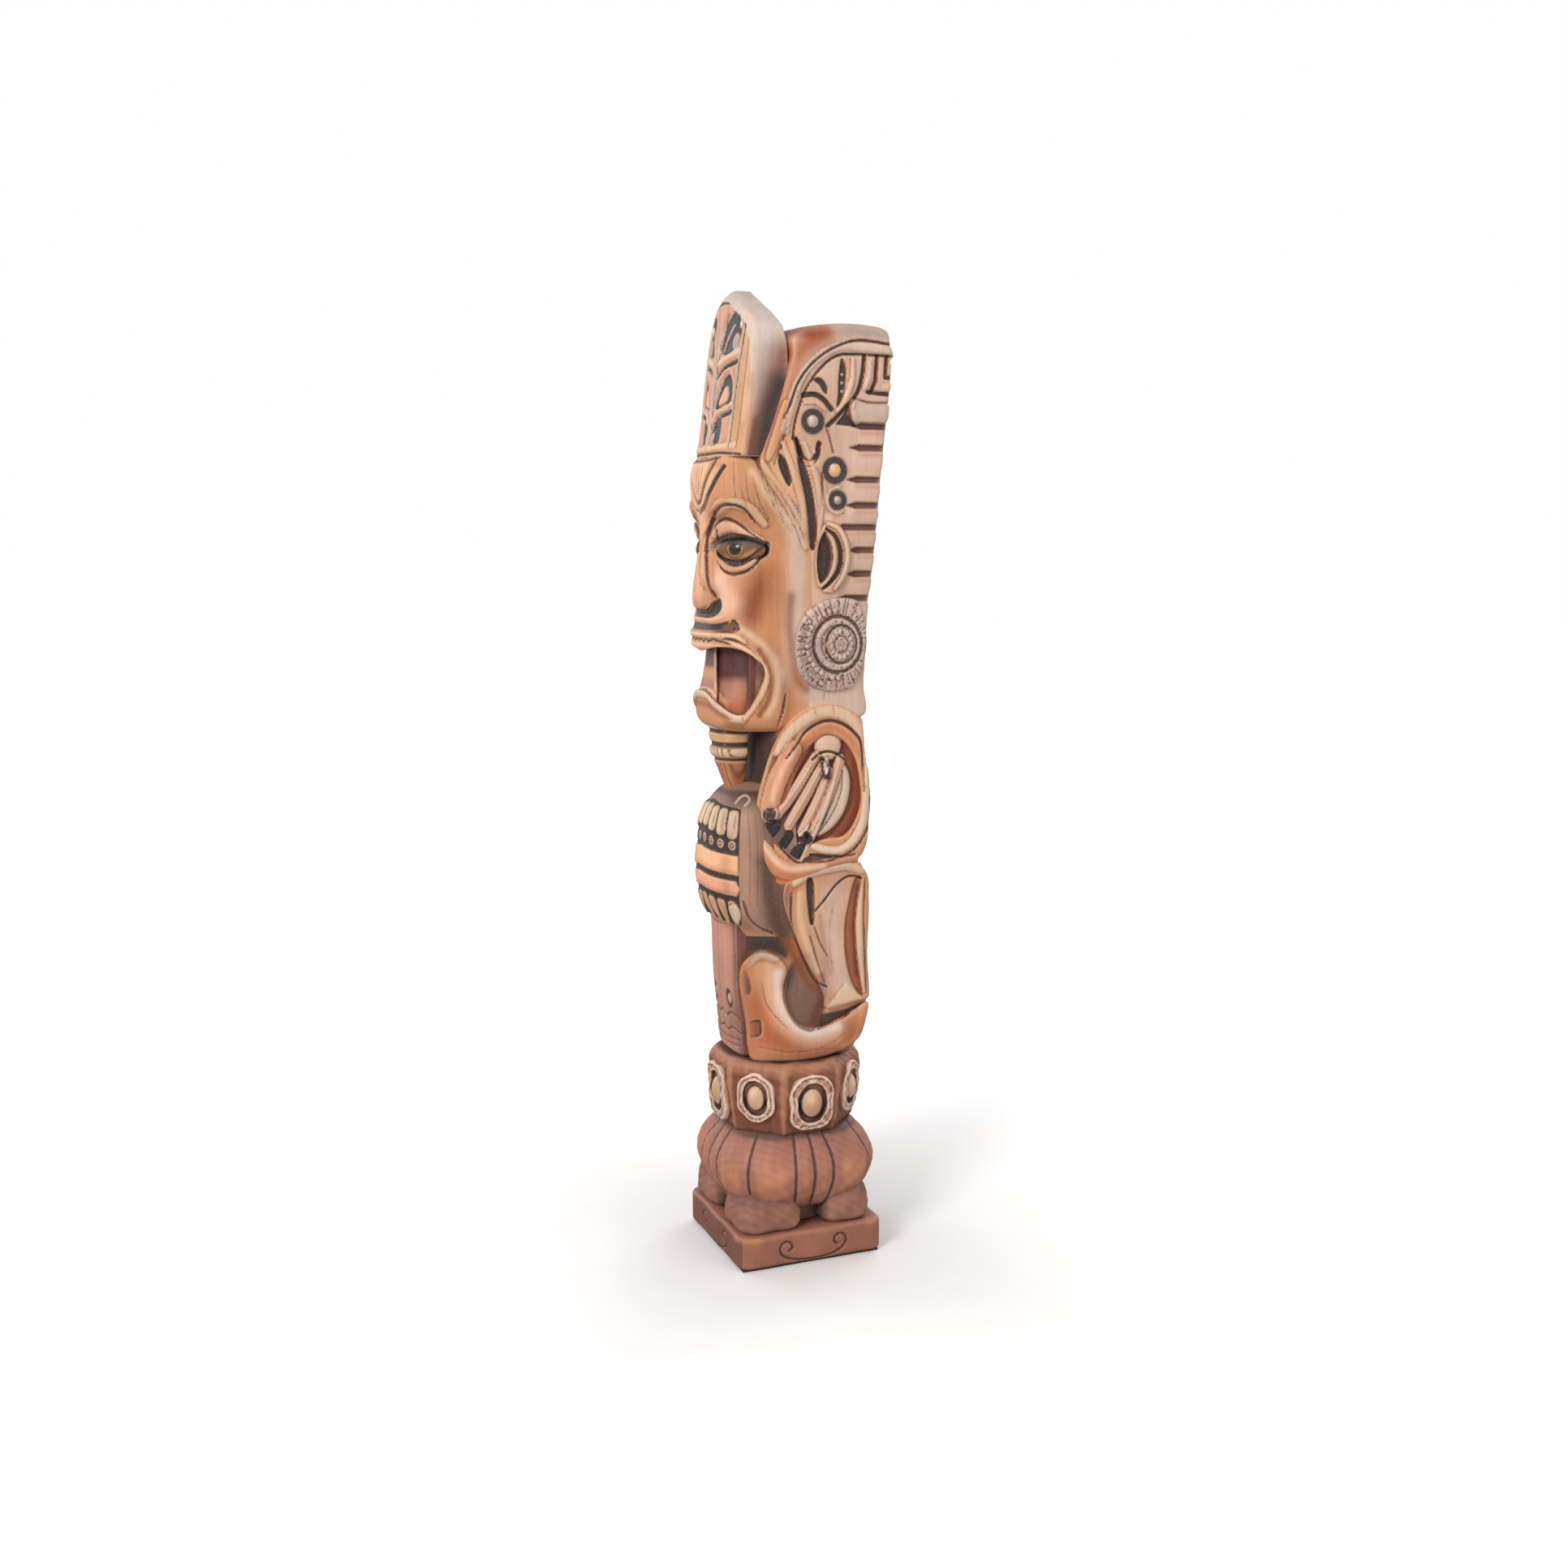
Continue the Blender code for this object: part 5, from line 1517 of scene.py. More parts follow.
MOUTH = ((-74, 318), (-60, 318), (-50, 320), (-40, 319.2), (-33.3, 317), (-28.3, 314.2), (-25, 310),
         (-24.4, 305), (-26.7, 299), (-29.4, 294), (-32.5, 289.4), (-36, 286.6), (-40, 286.6), (-45, 289.4),
         (-50, 293.6), (-54, 298), (-58, 299.6), (-74, 299.6))


def head_sheets():
    side = Sheet((-70, 270), (56, 424), HONEY)
    front = Sheet((0, 270), (40, 424), HONEY)
    side.glow([(-36, 400), (-20, 396)], 14, linear(186, 130, 84), 0.6)
    draw_cheek(side)
    draw_forehead(side, front)
    draw_eye_lids(side, front)
    draw_nose_and_lips(side, front)
    draw_temple(side)
    # Painted shade along the underside of the jaw.
    side.glow([(-60, 276), (-20, 275)], 4, DARK_RUST, 0.7)
    return side, front


def cheek_panel(x, y, z):
    """Share of the sunk panel in the wall of the mouth."""
    u, _ = sight(x, y, z)
    return smooth((u + 49.5) / 0.8) * smooth((-32.6 - u) / 0.8)


def mouth_tint(x, y, z, paint):
    """Painted wall inside the mouth: dark front, light-edged panel and pale cheek, darkened towards the roof
    by painted shade.
    """
    inside = smooth((-1.6 - head_plan(x, y, z)) / 0.9) * (z > 283) * (z < 321) * (y < -14)
    u, v = sight(x, y, z)
    # Painted shade: the wall darkens upwards, and the panel darkens at its roof under the upper lip.
    roof = smooth((v - 301) / 6)
    wall = coat(paint, linear(156, 86, 64), np.ones_like(x))
    wall = coat(wall, linear(92, 54, 58), smooth((v - 286) / 30) * 0.95)
    panel = cheek_panel(x, y, z)
    inner = coat(wall, linear(184, 124, 98), np.ones_like(x))
    inner = coat(inner, linear(190, 106, 62), smooth((297 - v) / 6) * 0.8)
    inner = coat(inner, linear(88, 50, 50), roof)
    wall = wall * (1 - panel[:, None]) + inner * panel[:, None]
    wall = coat(wall, linear(228, 172, 138), smooth((1.3 - np.abs(u + 49.8)) / 0.6) * (1 - 0.6 * roof))
    wall = coat(wall, linear(112, 64, 54), smooth((u + 33.2) / 0.6) * smooth((-29.4 - u) / 0.6))
    wall = coat(wall, linear(188, 148, 122), smooth((u + 29.2) / 0.6) * (1 - 0.7 * roof))
    return paint * (1 - inside[:, None]) + wall * inside[:, None]


def make_head(finish):
    side, front = head_sheets()
    back = back_sheet(270, 424, HOOD_GROUND)
    mouth = Outline(MOUTH)

    def shape(x, y, z):
        plan = blend_join(head_plan(x, y, z), nose_form(x, y, z), 2.5)
        skull = meet(np.maximum(plan, y - 8), slab(z, 276.6, 412.4), 3.0)
        teeth_line = knots(z, (284, -45), (292, -44), (302, -41.8), (316, -40.2))
        gum = column(x, y, 27.6, teeth_line, 20, 0, 3.2) + 2.4 * cheek_panel(x, y, z)
        opening = remove(mouth.gap(x, y, z), gum, 1.0)
        opening = np.maximum(opening, y + 17)
        socket = ellipsoid_at_eye(x, y, z, 13.2, 4.8, 6.1)
        return remove(remove(skull, opening, 0.8), socket, 0.4)

    def tint(x, y, z, paint):
        socket_edge = smooth((1.7 - ellipsoid_at_eye(x, y, z, 13.2, 4.8, 6.1)) / 0.6)
        return coat(mouth_tint(x, y, z, paint), INK, socket_edge)

    head = Carving((0, -52, 274), (37, 11, 415), shape)
    head.relief(side, front)
    head.finish("head", finish, side, front, back, base=HONEY, tint=tint)


def ellipsoid_at_eye(x, y, z, along, out, up):
    """Lens set square to the slant of the cheek."""
    dx, dy, dz = np.abs(x) - EYE_CENTRE[0], y - EYE_CENTRE[1], z - EYE_CENTRE[2]
    c, s = math.cos(EYE_TURN), math.sin(EYE_TURN)
    return ellipsoid(dx * c + dy * s, -dx * s + dy * c, dz, (0, 0.8, 0), (along, out, up))


def make_eyes(finish):
    sheet = Sheet((-60, 350), (-14, 384), linear(136, 88, 54))
    sheet.glow([(-44, 363.4), (-37, 362.4), (-30, 366)], 1.6, linear(208, 146, 92), 0.9)
    sheet.glow([(-34, 369), (-28, 368.6)], 2.2, linear(92, 70, 52), 0.9)
    sheet.dome((-39.6, 367.2), (4.6, 4.4), 0.3, linear(66, 46, 34), 1)
    sheet.line(arc((-39.6, 367.2), (3.7, 3.4), 150, 380, 20), 0.9, 0.2, linear(196, 144, 88), 0.9, bend=False)
    sheet.dome((-39.4, 367.8), (2.3, 2.2), 0.3, linear(26, 24, 26), 1)
    # Painted highlight: a glint on the iris.
    sheet.dome((-38.4, 368.6), (0.8, 0.6), 0.2, linear(226, 220, 208), 0.9)
    sheet.patch([(-54, 366.4), (-47, 369.4), (-40, 370.4), (-31, 369.8), (-21, 368), (-21, 376), (-40, 379),
                 (-54, 376)], 0.4, INK, 1)
    sheet.line([(-50, 367.4), (-46.4, 363), (-41.4, 360.6), (-35.8, 361.2), (-29.2, 365.2), (-22.9, 369.6)],
               1.4, 0.5)

    def shape(x, y, z):
        return ellipsoid_at_eye(x, y, z, 12.6, 3.6, 5.8)

    def build(name):
        eye = Carving((12, -50, 358), (40, -18, 377), shape, step=FINE * 0.7, mirrored=False)
        eye.relief(sheet, sheet)
        return eye.finish(name, finish, sheet, sheet, base=INK, wear_and_highlight=0, grime_and_shade=0.2)

    both_sides("eye", build)


def make_tongue(finish):
    def shape(x, y, z):
        groove = 0.8 * np.exp(-((x / 1.1) ** 2))
        dip = 0.004 * (y + 30) ** 2
        body = column(x, y + 26, 15, -15.2, 10, 0, 3)
        return meet(body, slab(z, 288.5, 293.4 - groove - dip), 2.2)

    tongue = Carving((0, -44, 286), (18, -22, 297), shape, step=FINE * 0.8)
    tongue.finish("tongue", finish, base=linear(196, 112, 88), highlight=linear(224, 156, 126), shadow=RUST,
                  wear_and_highlight=0.6, grime_and_shade=0.5)


def make_ears(finish, stone_finish):
    """Ears cupped forwards, and pitted spools below them."""
    ear_sheet = Sheet((-4, 340), (30, 386), linear(214, 164, 128))
    ear_sheet.patch([(8.2, 376), (4.4, 370), (3.4, 360), (5.2, 350.6), (9.6, 354), (11.6, 362.5),
                     (10.6, 370)], -1.9, linear(62, 42, 38), 1, 1.2)
    ear_sheet.ridge([(9.4, 374.6), (12.6, 369), (13.2, 361), (10.6, 353.6), (6, 349)], 2.6, 1.2, GOLD, 0.9,
                    0.3)
    ear_sheet.line([(8.6, 377), (13.8, 373), (16.4, 365), (15.2, 356.7), (10.4, 350.6), (6.2, 347.3)], 2.7,
                   1.5, taper=0.5)
    ear_sheet.ridge([(9.4, 379.6), (15.4, 377), (19.4, 370), (20.2, 362), (18, 354), (13.6, 347.6)], 3.2, 1.4,
                    linear(232, 186, 154), 0.9, 0.3)
    shell = Outline([(3.6, 368), (2.6, 358), (4.4, 349), (8, 345.6), (14, 346.4), (19, 352.6), (21.8, 361.5),
                     (21, 371), (16.4, 378.4), (10, 381.4), (6.4, 377.4)])

    def ear_shape(x, y, z):
        return meet(np.maximum(x - 36.4, 30 - x), shell.gap(x, y, z), 1.6)

    def build_ear(name):
        ear = Carving((29, -4, 342), (41, 28, 386), ear_shape, step=FINE * 0.8, mirrored=False)
        ear.relief(ear_sheet)
        return ear.finish(name, finish, ear_sheet, base=linear(176, 120, 92), wear_and_highlight=0.6, grime_and_shade=0.6)

    both_sides("ear", build_ear)

    spool_sheet = spool_drawing()
    rim = Outline([(-4.4, 333), (0.6, 338.2), (6, 341.4), (12, 343), (20, 343), (26.4, 340.6), (29.8, 331),
                   (31, 320), (28.6, 308), (23, 298.8), (16, 296.6), (6, 297.2), (-1, 300.4), (-6, 307),
                   (-8, 317), (-7.2, 326)])

    def spool_shape(x, y, z):
        u, v = sight(x, y, z)
        bulge = 1.2 * np.exp(-(((u - 15) / 12) ** 2) - ((v - 320) / 13) ** 2)
        return meet(np.maximum(x - 36.6 - bulge, 30 - x), rim.gap(x, y, z), 2.2)

    def build_spool(name):
        spool = Carving((29, -12, 292), (42, 36, 348), spool_shape, step=FINE * 0.8, mirrored=False)
        spool.relief(spool_sheet)
        return spool.finish(name, stone_finish, spool_sheet, base=MAUVE, highlight=linear(222, 196, 182),
                            shadow=linear(92, 70, 66), wear_and_highlight=0.7, grime_and_shade=0.6)

    both_sides("ear_spool", build_spool)


def spool_drawing():
    """Ribbed rim, beaded ring and a pitted boss."""
    rng = np.random.default_rng(7)
    sheet = Sheet((-14, 290), (38, 350), MAUVE)
    centre = (15.0, 320.0)
    for angle in range(0, 360, 10):
        turn = math.radians(angle + 3 * rng.standard_normal())
        rib = [(centre[0] + r * math.cos(turn),
                centre[1] + 1.02 * r * math.sin(turn)) for r in (15, 18.5, 23)]
        upper = 0.5 + 0.5 * math.sin(turn)
        sheet.line(rib, 1.1, 0.3 + 0.3 * upper, linear(112, 86, 80), 0.25 + 0.35 * upper, 0.4)
    # Painted shade along the spool's left edge.
    sheet.glow([(-8, 330), (-9, 316), (-4, 303), (4, 298)], 4, linear(92, 66, 60), 0.8)
    sheet.glow([(0, 336), (14, 341), (26, 336)], 4, linear(206, 178, 164), 0.6, 0.4)
    for angle in range(95, 280, 11):
        turn = math.radians(angle)
        bead = (centre[0] + 16.4 * math.cos(turn), centre[1] + 16.8 * math.sin(turn))
        sheet.dome(bead, (1.35, 1.35), 1.1, linear(196, 172, 158), 0.8)
    for _ in range(260):
        spot = (rng.uniform(-9, 32), rng.uniform(296, 344))
        size = rng.uniform(0.35, 0.9)
        raised = rng.random() < 0.5
        sheet.dome(spot, (size, size), 0.5 if raised else -0.6,
                   linear(202, 180, 170) if raised else linear(96, 80, 78), 0.6)
    sheet.dome(centre, (14.2, 14.6), 0.0, MAUVE, 0.5)
    sheet.line(arc(centre, (13.2, 14.0), 0, 360, 48), 1.7, 1.1, linear(84, 66, 64), 0.85, bend=False)
    sheet.line(arc(centre, (10.6, 11.4), 0, 360, 48), 2.6, -0.9, linear(178, 154, 146), 0.8, bend=False)
    inner = (17.0, 320.0)
    sheet.line(arc(inner, (8.3, 9.5), 0, 360, 40), 1.3, 1.0, linear(78, 62, 60), 0.9, bend=False)
    sheet.dome(inner, (7.4, 8.6), 0.9, linear(172, 150, 140), 0.7)
    for angle in range(0, 360, 24):
        turn = math.radians(angle)
        bead = (inner[0] + 5.6 * math.cos(turn), inner[1] + 6.6 * math.sin(turn))
        sheet.dome(bead, (1.1, 1.2), 0.8, linear(200, 182, 172), 0.7)
    sheet.line(arc(inner, (3.6, 4.2), 0, 360, 24), 0.7, 0.6, linear(92, 78, 76), 0.8, bend=False)
    return sheet


# --------------------------------------------------------------- headdress


def draw_roundel(sheet, centre, radius, hole, paint):
    sheet.dome(centre, (radius + 0.5, radius + 0.5), 0.8, INK, 1)
    sheet.dome(centre, (radius - 0.4, radius - 0.4), -0.6, INK, 1)
    sheet.dome(centre, (hole, hole), 1.4, paint, 1)
    # Painted highlight: a glint on the stud.
    sheet.dome((centre[0] - 0.3 * hole, centre[1] + 0.3 * hole), (0.5 * hole, 0.5 * hole), 0.3, WHITE, 0.6)


def draw_hood_bars(sheet):
    """Cords of the hood: rounded bars with dark gaps between them."""
    bars = ((427, 22), (416.5, 21), (401, 19.5), (388.5, 19), (377.7, 13), (366.5, 20), (354.8, 19),
            (342.7, 14))
    for v, start in bars:
        sheet.patch([(start, v), (start + 5, v + 1.6), (46, v + 1.4), (46, v - 1.5), (start + 5, v - 1.5)],
                    -1.8, linear(84, 50, 44), 0.95, 0.8, bend=False)
    for (v, start), (below, _) in zip(bars[1:], bars[2:] + ((331, 0),)):
        middle = (v + below) / 2
        sheet.glow([(start + 4, middle + 0.8), (46, middle + 0.8)], (v - below) * 0.3,
                   linear(212, 180, 162), 0.7, 0.8)
    for v, start in bars:
        sheet.glow([(start + 6, v - 3), (44, v - 3)], 1.5, linear(176, 104, 76), 0.45)


def draw_hood_band(sheet):
    """Double rim, and the top slope above it."""
    sheet.glow([(-24, 414), (-18, 432), (-12, 452), (-4, 463), (6, 470)], 5, linear(184, 98, 50), 0.85)
    sheet.glow([(0, 470), (10, 473)], 4, linear(180, 84, 40), 0.8)
    sheet.glow([(14, 476), (28, 475), (42, 471)], 4, linear(186, 170, 160), 0.9)
    sheet.ridge([(-13.5, 424), (-9, 440), (-4, 451), (4, 459), (14, 464.6), (28, 465.2), (46, 464)], 4.6, 1.0,
                linear(214, 188, 172), 0.9, 0)
    sheet.line([(-14, 430), (-10.5, 437), (-6.4, 447), (0, 455.4), (9, 462.4), (20, 467.2), (30, 468.2),
                (46, 466.4)], 1.2, 1.1)
    sheet.line([(-9.5, 420), (-8, 429), (-4, 441), (0.5, 448.5), (6, 455), (13, 460), (22, 461.5),
                (46, 461.2)], 1.2, 1.1)
    sheet.ridge([(-22, 411), (-17, 424), (-13, 437)], 5.5, 1.2, linear(222, 160, 110), 0.7)
    sheet.line([(-19, 408), (-15.5, 417), (-12.5, 425)], 0.9, 0.7, BROWN, 0.7, 0.4)


def draw_hood_motifs(sheet):
    draw_roundel(sheet, (1.2, 428.8), 5.9, 3.0, linear(196, 178, 168))
    draw_roundel(sheet, (13, 405.5), 6.4, 3.4, linear(232, 180, 126))
    draw_roundel(sheet, (14.6, 391), 4.6, 2.2, linear(150, 130, 122))
    sheet.ridge(arc((14.6, 391), (5.6, 6.2), 80, 300, 12), 1.8, 0.8, linear(216, 190, 174), 0.8)
    sheet.line([(-4, 441), (2, 441.6), (7, 439.2), (11, 434.8)], 2.4, 1.4)
    sheet.ridge([(-3, 437.6), (3, 437.8), (8, 434.6)], 2.4, 0.9, linear(228, 170, 136), 0.9)
    sheet.patch([(1.4, 448.6), (5, 449.6), (8.4, 446.4), (8.6, 442.2), (6.4, 443.4), (4.8, 446)], -1.3, INK,
                1)
    sheet.patch([(16.2, 459), (18.6, 455), (18.4, 447), (16.6, 440), (14, 435.4), (14.6, 442), (14.8, 450)],
                -1.4, INK, 1)
    for v in (451.5, 447.5, 443.5):
        sheet.dome((16.6, v), (0.8, 0.8), 1.0, linear(206, 190, 176), 0.9)
    sheet.ridge([(22.5, 459), (22, 449), (18.5, 440), (14, 434)], 3.2, 1.0, linear(236, 206, 176), 0.9)
    sheet.line([(28.5, 461), (27.4, 451), (24.4, 442.4), (17, 434), (9.4, 427)], 2.1, 1.5)
    sheet.ridge([(32, 459.5), (31, 450), (28.6, 445)], 2.8, 0.9, linear(224, 200, 186), 0.9)
    for points in ([(35.4, 461), (34.6, 449), (32, 443.4)], [(30.6, 443.6), (46, 442.4)],
                   [(40.6, 461), (40, 451), (45, 450.6)]):
        sheet.line(points, 2.0, 1.5, linear(78, 46, 44), bend=False)
    sheet.patch([(38.4, 447.8), (44, 448.2), (44, 444.6), (38.2, 444.8)], 0.8, PEACH, 0.9, bend=False)
    sheet.line([(23, 440.6), (32, 438.6), (46, 439)], 0.9, 0.7, RUST, 0.7)
    sheet.ridge([(24, 433.6), (34, 433.8), (46, 433.8)], 9.5, 1.5, linear(206, 180, 164), 0.8, 0)
    sheet.patch([(20.6, 436.6), (22, 430.2), (25, 426.6), (16, 427.4), (13.4, 427.6)], -1.9, INK, 1,
                bend=False)
    sheet.dome((22.4, 437.6), (1.8, 2.4), 1.0, linear(222, 190, 178), 0.9)
    sheet.line([(-8, 420), (-4.6, 411.6), (-0.6, 408.4), (3, 412), (4.4, 418.4)], 3.0, 1.7, taper=0.3)
    sheet.dome((2.2, 414), (0.9, 0.9), 0.8, WHITE, 0.8)
    sheet.line([(8, 427), (10.2, 420.6), (12, 414)], 0.9, 0.6, RUST, 0.8)
    sheet.line([(6, 404), (6.4, 394), (5.4, 384)], 1.0, 0.8, BROWN, 0.8)
    sheet.glow([(10, 382), (12, 379)], 2.2, linear(226, 190, 178), 0.8, 0.8)


def make_headdress(finish):
    side = Sheet((-34, 270), (56, 486), HOOD_GROUND)
    side.glow([(38, 400), (34, 350), (30, 300)], 5, linear(196, 164, 148), 0.5)
    side.glow([(6, 296), (24, 288)], 8, linear(210, 184, 170), 0.6)
    flap = [(-28, 404), (-20, 426), (-13, 446), (-4, 458), (-8, 440), (-6, 424), (1, 404), (3, 384), (3, 366),
            (-4, 366), (-8, 384)]
    side.patch(flap, 0, linear(226, 170, 126), 0.9, 2.0)
    side.glow([(2, 446), (8, 436), (4, 424), (9, 398), (10, 384)], 6, linear(206, 156, 118), 0.6)
    side.glow([(30, 444), (34, 436), (32, 426)], 6, linear(226, 192, 176), 0.5)
    draw_hood_bars(side)
    draw_hood_band(side)
    draw_hood_motifs(side)
    draw_temple(side)
    back = back_sheet(284, 478, HOOD_GROUND)
    back.ridge([(0, 466), (20, 465), (36, 462)], 5, 1.2, linear(214, 188, 172), 0.9, 0)
    back.line([(0, 461.6), (20, 460.8), (36, 458)], 1.3, 1.1)
    front = Sheet((0, 404), (40, 486), linear(196, 112, 70))
    front.glow([(0, 474), (30, 472)], 6, linear(206, 124, 76), 0.7)
    # Painted shade low on the front faces, in the gap behind the crest.
    front.glow([(0, 412), (30, 412)], 16, DARK_RUST, 0.8)

    outline = Outline([(-27, 407), (-24.2, 416.7), (-20.8, 425), (-18, 433), (-14.6, 442.5), (-11.4, 453),
                       (-9.8, 460), (-10.8, 468), (-5, 473.4), (4, 476), (18, 477.4), (33, 477),
                       (41.6, 475), (44.4, 468.6), (43.4, 450), (41.4, 430), (38.8, 405), (36.8, 380),
                       (34.4, 356), (32.2, 340), (31.6, 320), (30.4, 300), (30.2, 283.4), (4, 283.4),
                       (-4, 300), (-2, 325), (-1, 345), (-1, 368), (-4, 381), (-12, 392), (-20, 400)],
                       straight_side)

    def shape(x, y, z):
        across = np.abs(x) - knots(z, (283, 33.8), (330, 34), (366, 34.2), (412, 34.6), (450, 34.8),
                                   (476, 34.0))
        crown = 0.0012 * x**2 * smooth((z - 455) / 15)
        return meet(across, outline.gap(x, y, z) + crown, 2.6)

    def tint(x, y, z, paint):
        slope = smooth((z - 466) / 5)[:, None] * smooth((14 - y) / 16)[:, None] * 0.8
        top = smooth((z - 468) / 4)[:, None] * smooth((y - 8) / 14)[:, None] * 0.85
        paint = coat(paint, linear(146, 62, 34), slope[:, 0])
        return coat(paint, linear(174, 152, 140), top[:, 0])

    hood = Carving((0, -30, 281), (38, 48, 480), shape)
    hood.relief(side, front, back)
    hood.finish("headdress", finish, side, front, back, base=HOOD_GROUND, tint=tint)


CREST_BOW = 0.0075  # the middle of the front stands before its edges


def draw_crest_front(sheet):
    """Palmette: stem with three pairs of leaves inside a rim."""
    sheet.patch([(-3, 486), (8, 485), (17, 482), (21.5, 479), (23, 474.6), (22.7, 467), (21.5, 461),
                 (21, 452), (20.5, 440), (20, 418), (-3, 418)], -0.8, linear(214, 156, 124), 1, 1.0,
                 bend=False)
    sheet.line([(-2, 487), (8, 486), (17, 483), (22.4, 479), (24.2, 474), (24, 466), (23, 455), (22.6, 440),
                (22.4, 416)], 1.2, 0.9)
    sheet.line([(25, 480), (28, 468), (28, 440), (27.6, 416)], 0.8, 0.5, BROWN, 0.6)
    sheet.patch([(2.6, 464), (5, 472), (9, 479), (14, 481.6), (18.6, 479.4), (20.8, 474), (20.4, 466.6),
                 (17.6, 463.4), (10, 461)], -1.2, SLATE, 1)
    sheet.ridge([(6.4, 463), (9.4, 469), (13.6, 475)], 1.8, 0.7, GOLD, 0.95, 0.2)
    sheet.patch([(15.4, 463.4), (14.4, 467.6), (17, 471), (19.8, 468.4), (19, 464)], 0.8,
                linear(190, 164, 158), 0.95)
    sheet.dome((19.6, 475.4), (1.3, 2.4), 1.0, WHITE, 0.9)
    sheet.ridge([(3, 457), (11, 459.6), (21, 462)], 3.6, 0.6, linear(236, 192, 162), 0.95, 0)
    sheet.line([(3, 450.6), (9, 454.6), (20.6, 457.4)], 2.4, 1.5, SLATE)
    sheet.patch([(4, 436), (7, 444), (11, 450), (15.4, 451.4), (18.4, 447), (18.8, 440), (16.6, 436),
                 (10, 435)], -1.2, SLATE, 1)
    sheet.ridge([(3.6, 440), (7, 448), (12, 453.4), (17, 453.4), (20.6, 447.6)], 1.8, 0.6,
                linear(232, 166, 134), 0.95)
    sheet.patch([(7, 437), (9, 442), (13, 446), (15.4, 443.6), (14.6, 438.6)], 0.8, linear(236, 176, 148),
                0.95)
    sheet.ridge([(3, 429), (8, 434.4), (20, 437)], 2.8, 0.6, linear(240, 182, 152), 0.95, 0.1)
    sheet.line([(3, 424), (8, 430.4), (20, 433.4)], 2.4, 1.5, SLATE)
    sheet.patch([(5, 418.4), (5.4, 426), (8.4, 430.6), (12, 431.4), (11.6, 419)], -1.4, SLATE, 1)
    sheet.ridge([(0, 414), (0.6, 450), (2.6, 472), (6, 483)], 2.4, 0.8, linear(206, 162, 144), 0.95, 0)
    sheet.line([(1.9, 416), (2.4, 448), (4.2, 468), (8, 481)], 0.8, 0.8, linear(110, 84, 82))
    sheet.ridge([(0, 416.4), (12, 416.8), (26, 417)], 3.4, 0.5, PEACH, 0.9, 0)
    sheet.line([(0, 413.4), (16, 413.6), (31, 412.4)], 1.3, 0.9)


def make_crest(finish):
    front = Sheet((0, 404), (40, 500), linear(214, 158, 112))
    front.glow([(27, 480), (29.5, 460), (30, 430)], 2.2, linear(228, 186, 146), 0.8)
    draw_crest_front(front)
    side = Sheet((-70, 400), (0, 500), linear(208, 192, 182))
    side.glow([(-20, 458), (-24, 444)], 7, linear(192, 162, 148), 0.7)
    # Painted shade in the gap where the crest's side meets the hood.
    side.glow([(-13, 460), (-17, 447), (-23, 432), (-27, 412)], 8, linear(128, 72, 54), 0.9)
    side.glow([(-16, 446), (-22, 430), (-26, 408)], 6.5, linear(58, 42, 42), 0.97)
    side.glow([(-30, 428), (-32, 412)], 4, linear(108, 58, 44), 0.9)
    side.glow([(-31.5, 450), (-32.5, 430), (-36, 414)], 2.0, linear(206, 136, 92), 0.8)
    back = Sheet((0, 404), (40, 500), linear(150, 104, 84))
    back.glow([(0, 480), (20, 470)], 10, linear(182, 166, 158), 0.9)
    half = [(33, 404), (33.4, 432), (32.4, 452), (30.4, 466), (27, 475), (19.6, 482), (9.6, 488.6),
            (0, 493.6)]
    arch = Outline(half + [(-x, z) for x, z in reversed(half[:-1])], lambda x, y, z: (x + 0 * z, z + 0 * x),
                   bend=False)

    def shape(x, y, z):
        front_face = knots(z, (410, -43.4), (425, -41), (447, -38.4), (470, -35.4), (487, -32.6),
                           (497, -31)) - y
        front_face = front_face + CREST_BOW * x**2
        rear_face = y - (0.11 * (z - 468) - 20.0) - 0.011 * x**2
        rim = arch.gap(x, 0, z)
        bevel = knots(z, (410, 1.2), (462, 1.4), (476, 2.6), (488, 4), (497, 5))
        chamfer = (front_face + rim + bevel) / math.sqrt(2)
        body = meet(np.maximum(front_face, chamfer), rear_face, 1.2)
        return meet(meet(body, rim, 1.2), 411.6 - z, 1.0)

    def tint(x, y, z, paint):
        bevel = smooth((z - 480 + 0.25 * np.abs(x)) / 5) * smooth((y + 31 - CREST_BOW * x**2) / 2)
        return coat(paint, linear(196, 182, 172), bevel * 0.85)

    crest = Carving((0, -50, 409), (37, -6, 498), shape)
    crest.relief(side, front, back)
    crest.finish("crest", finish, side, front, back, base=linear(180, 166, 158), tint=tint)


def make_head_parts(finish, stone_finish, slate_finish):
    make_head(finish)
    make_eyes(finish)
    make_tongue(finish)
    make_ears(finish, stone_finish)
    make_headdress(finish)
    make_crest(slate_finish)


# ------------------------------------------------------------ assembly and view

SKY_LIGHT = 0.56


def dress_cad_nodes(dowel, felt):
    """The dowels, the pegs and the felt pad keep their CAD shape and get a finish."""
    for name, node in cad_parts.items():
        use = felt if name == "felt_pad" else dowel
        node.data.materials.clear()
        node.data.materials.append(use)


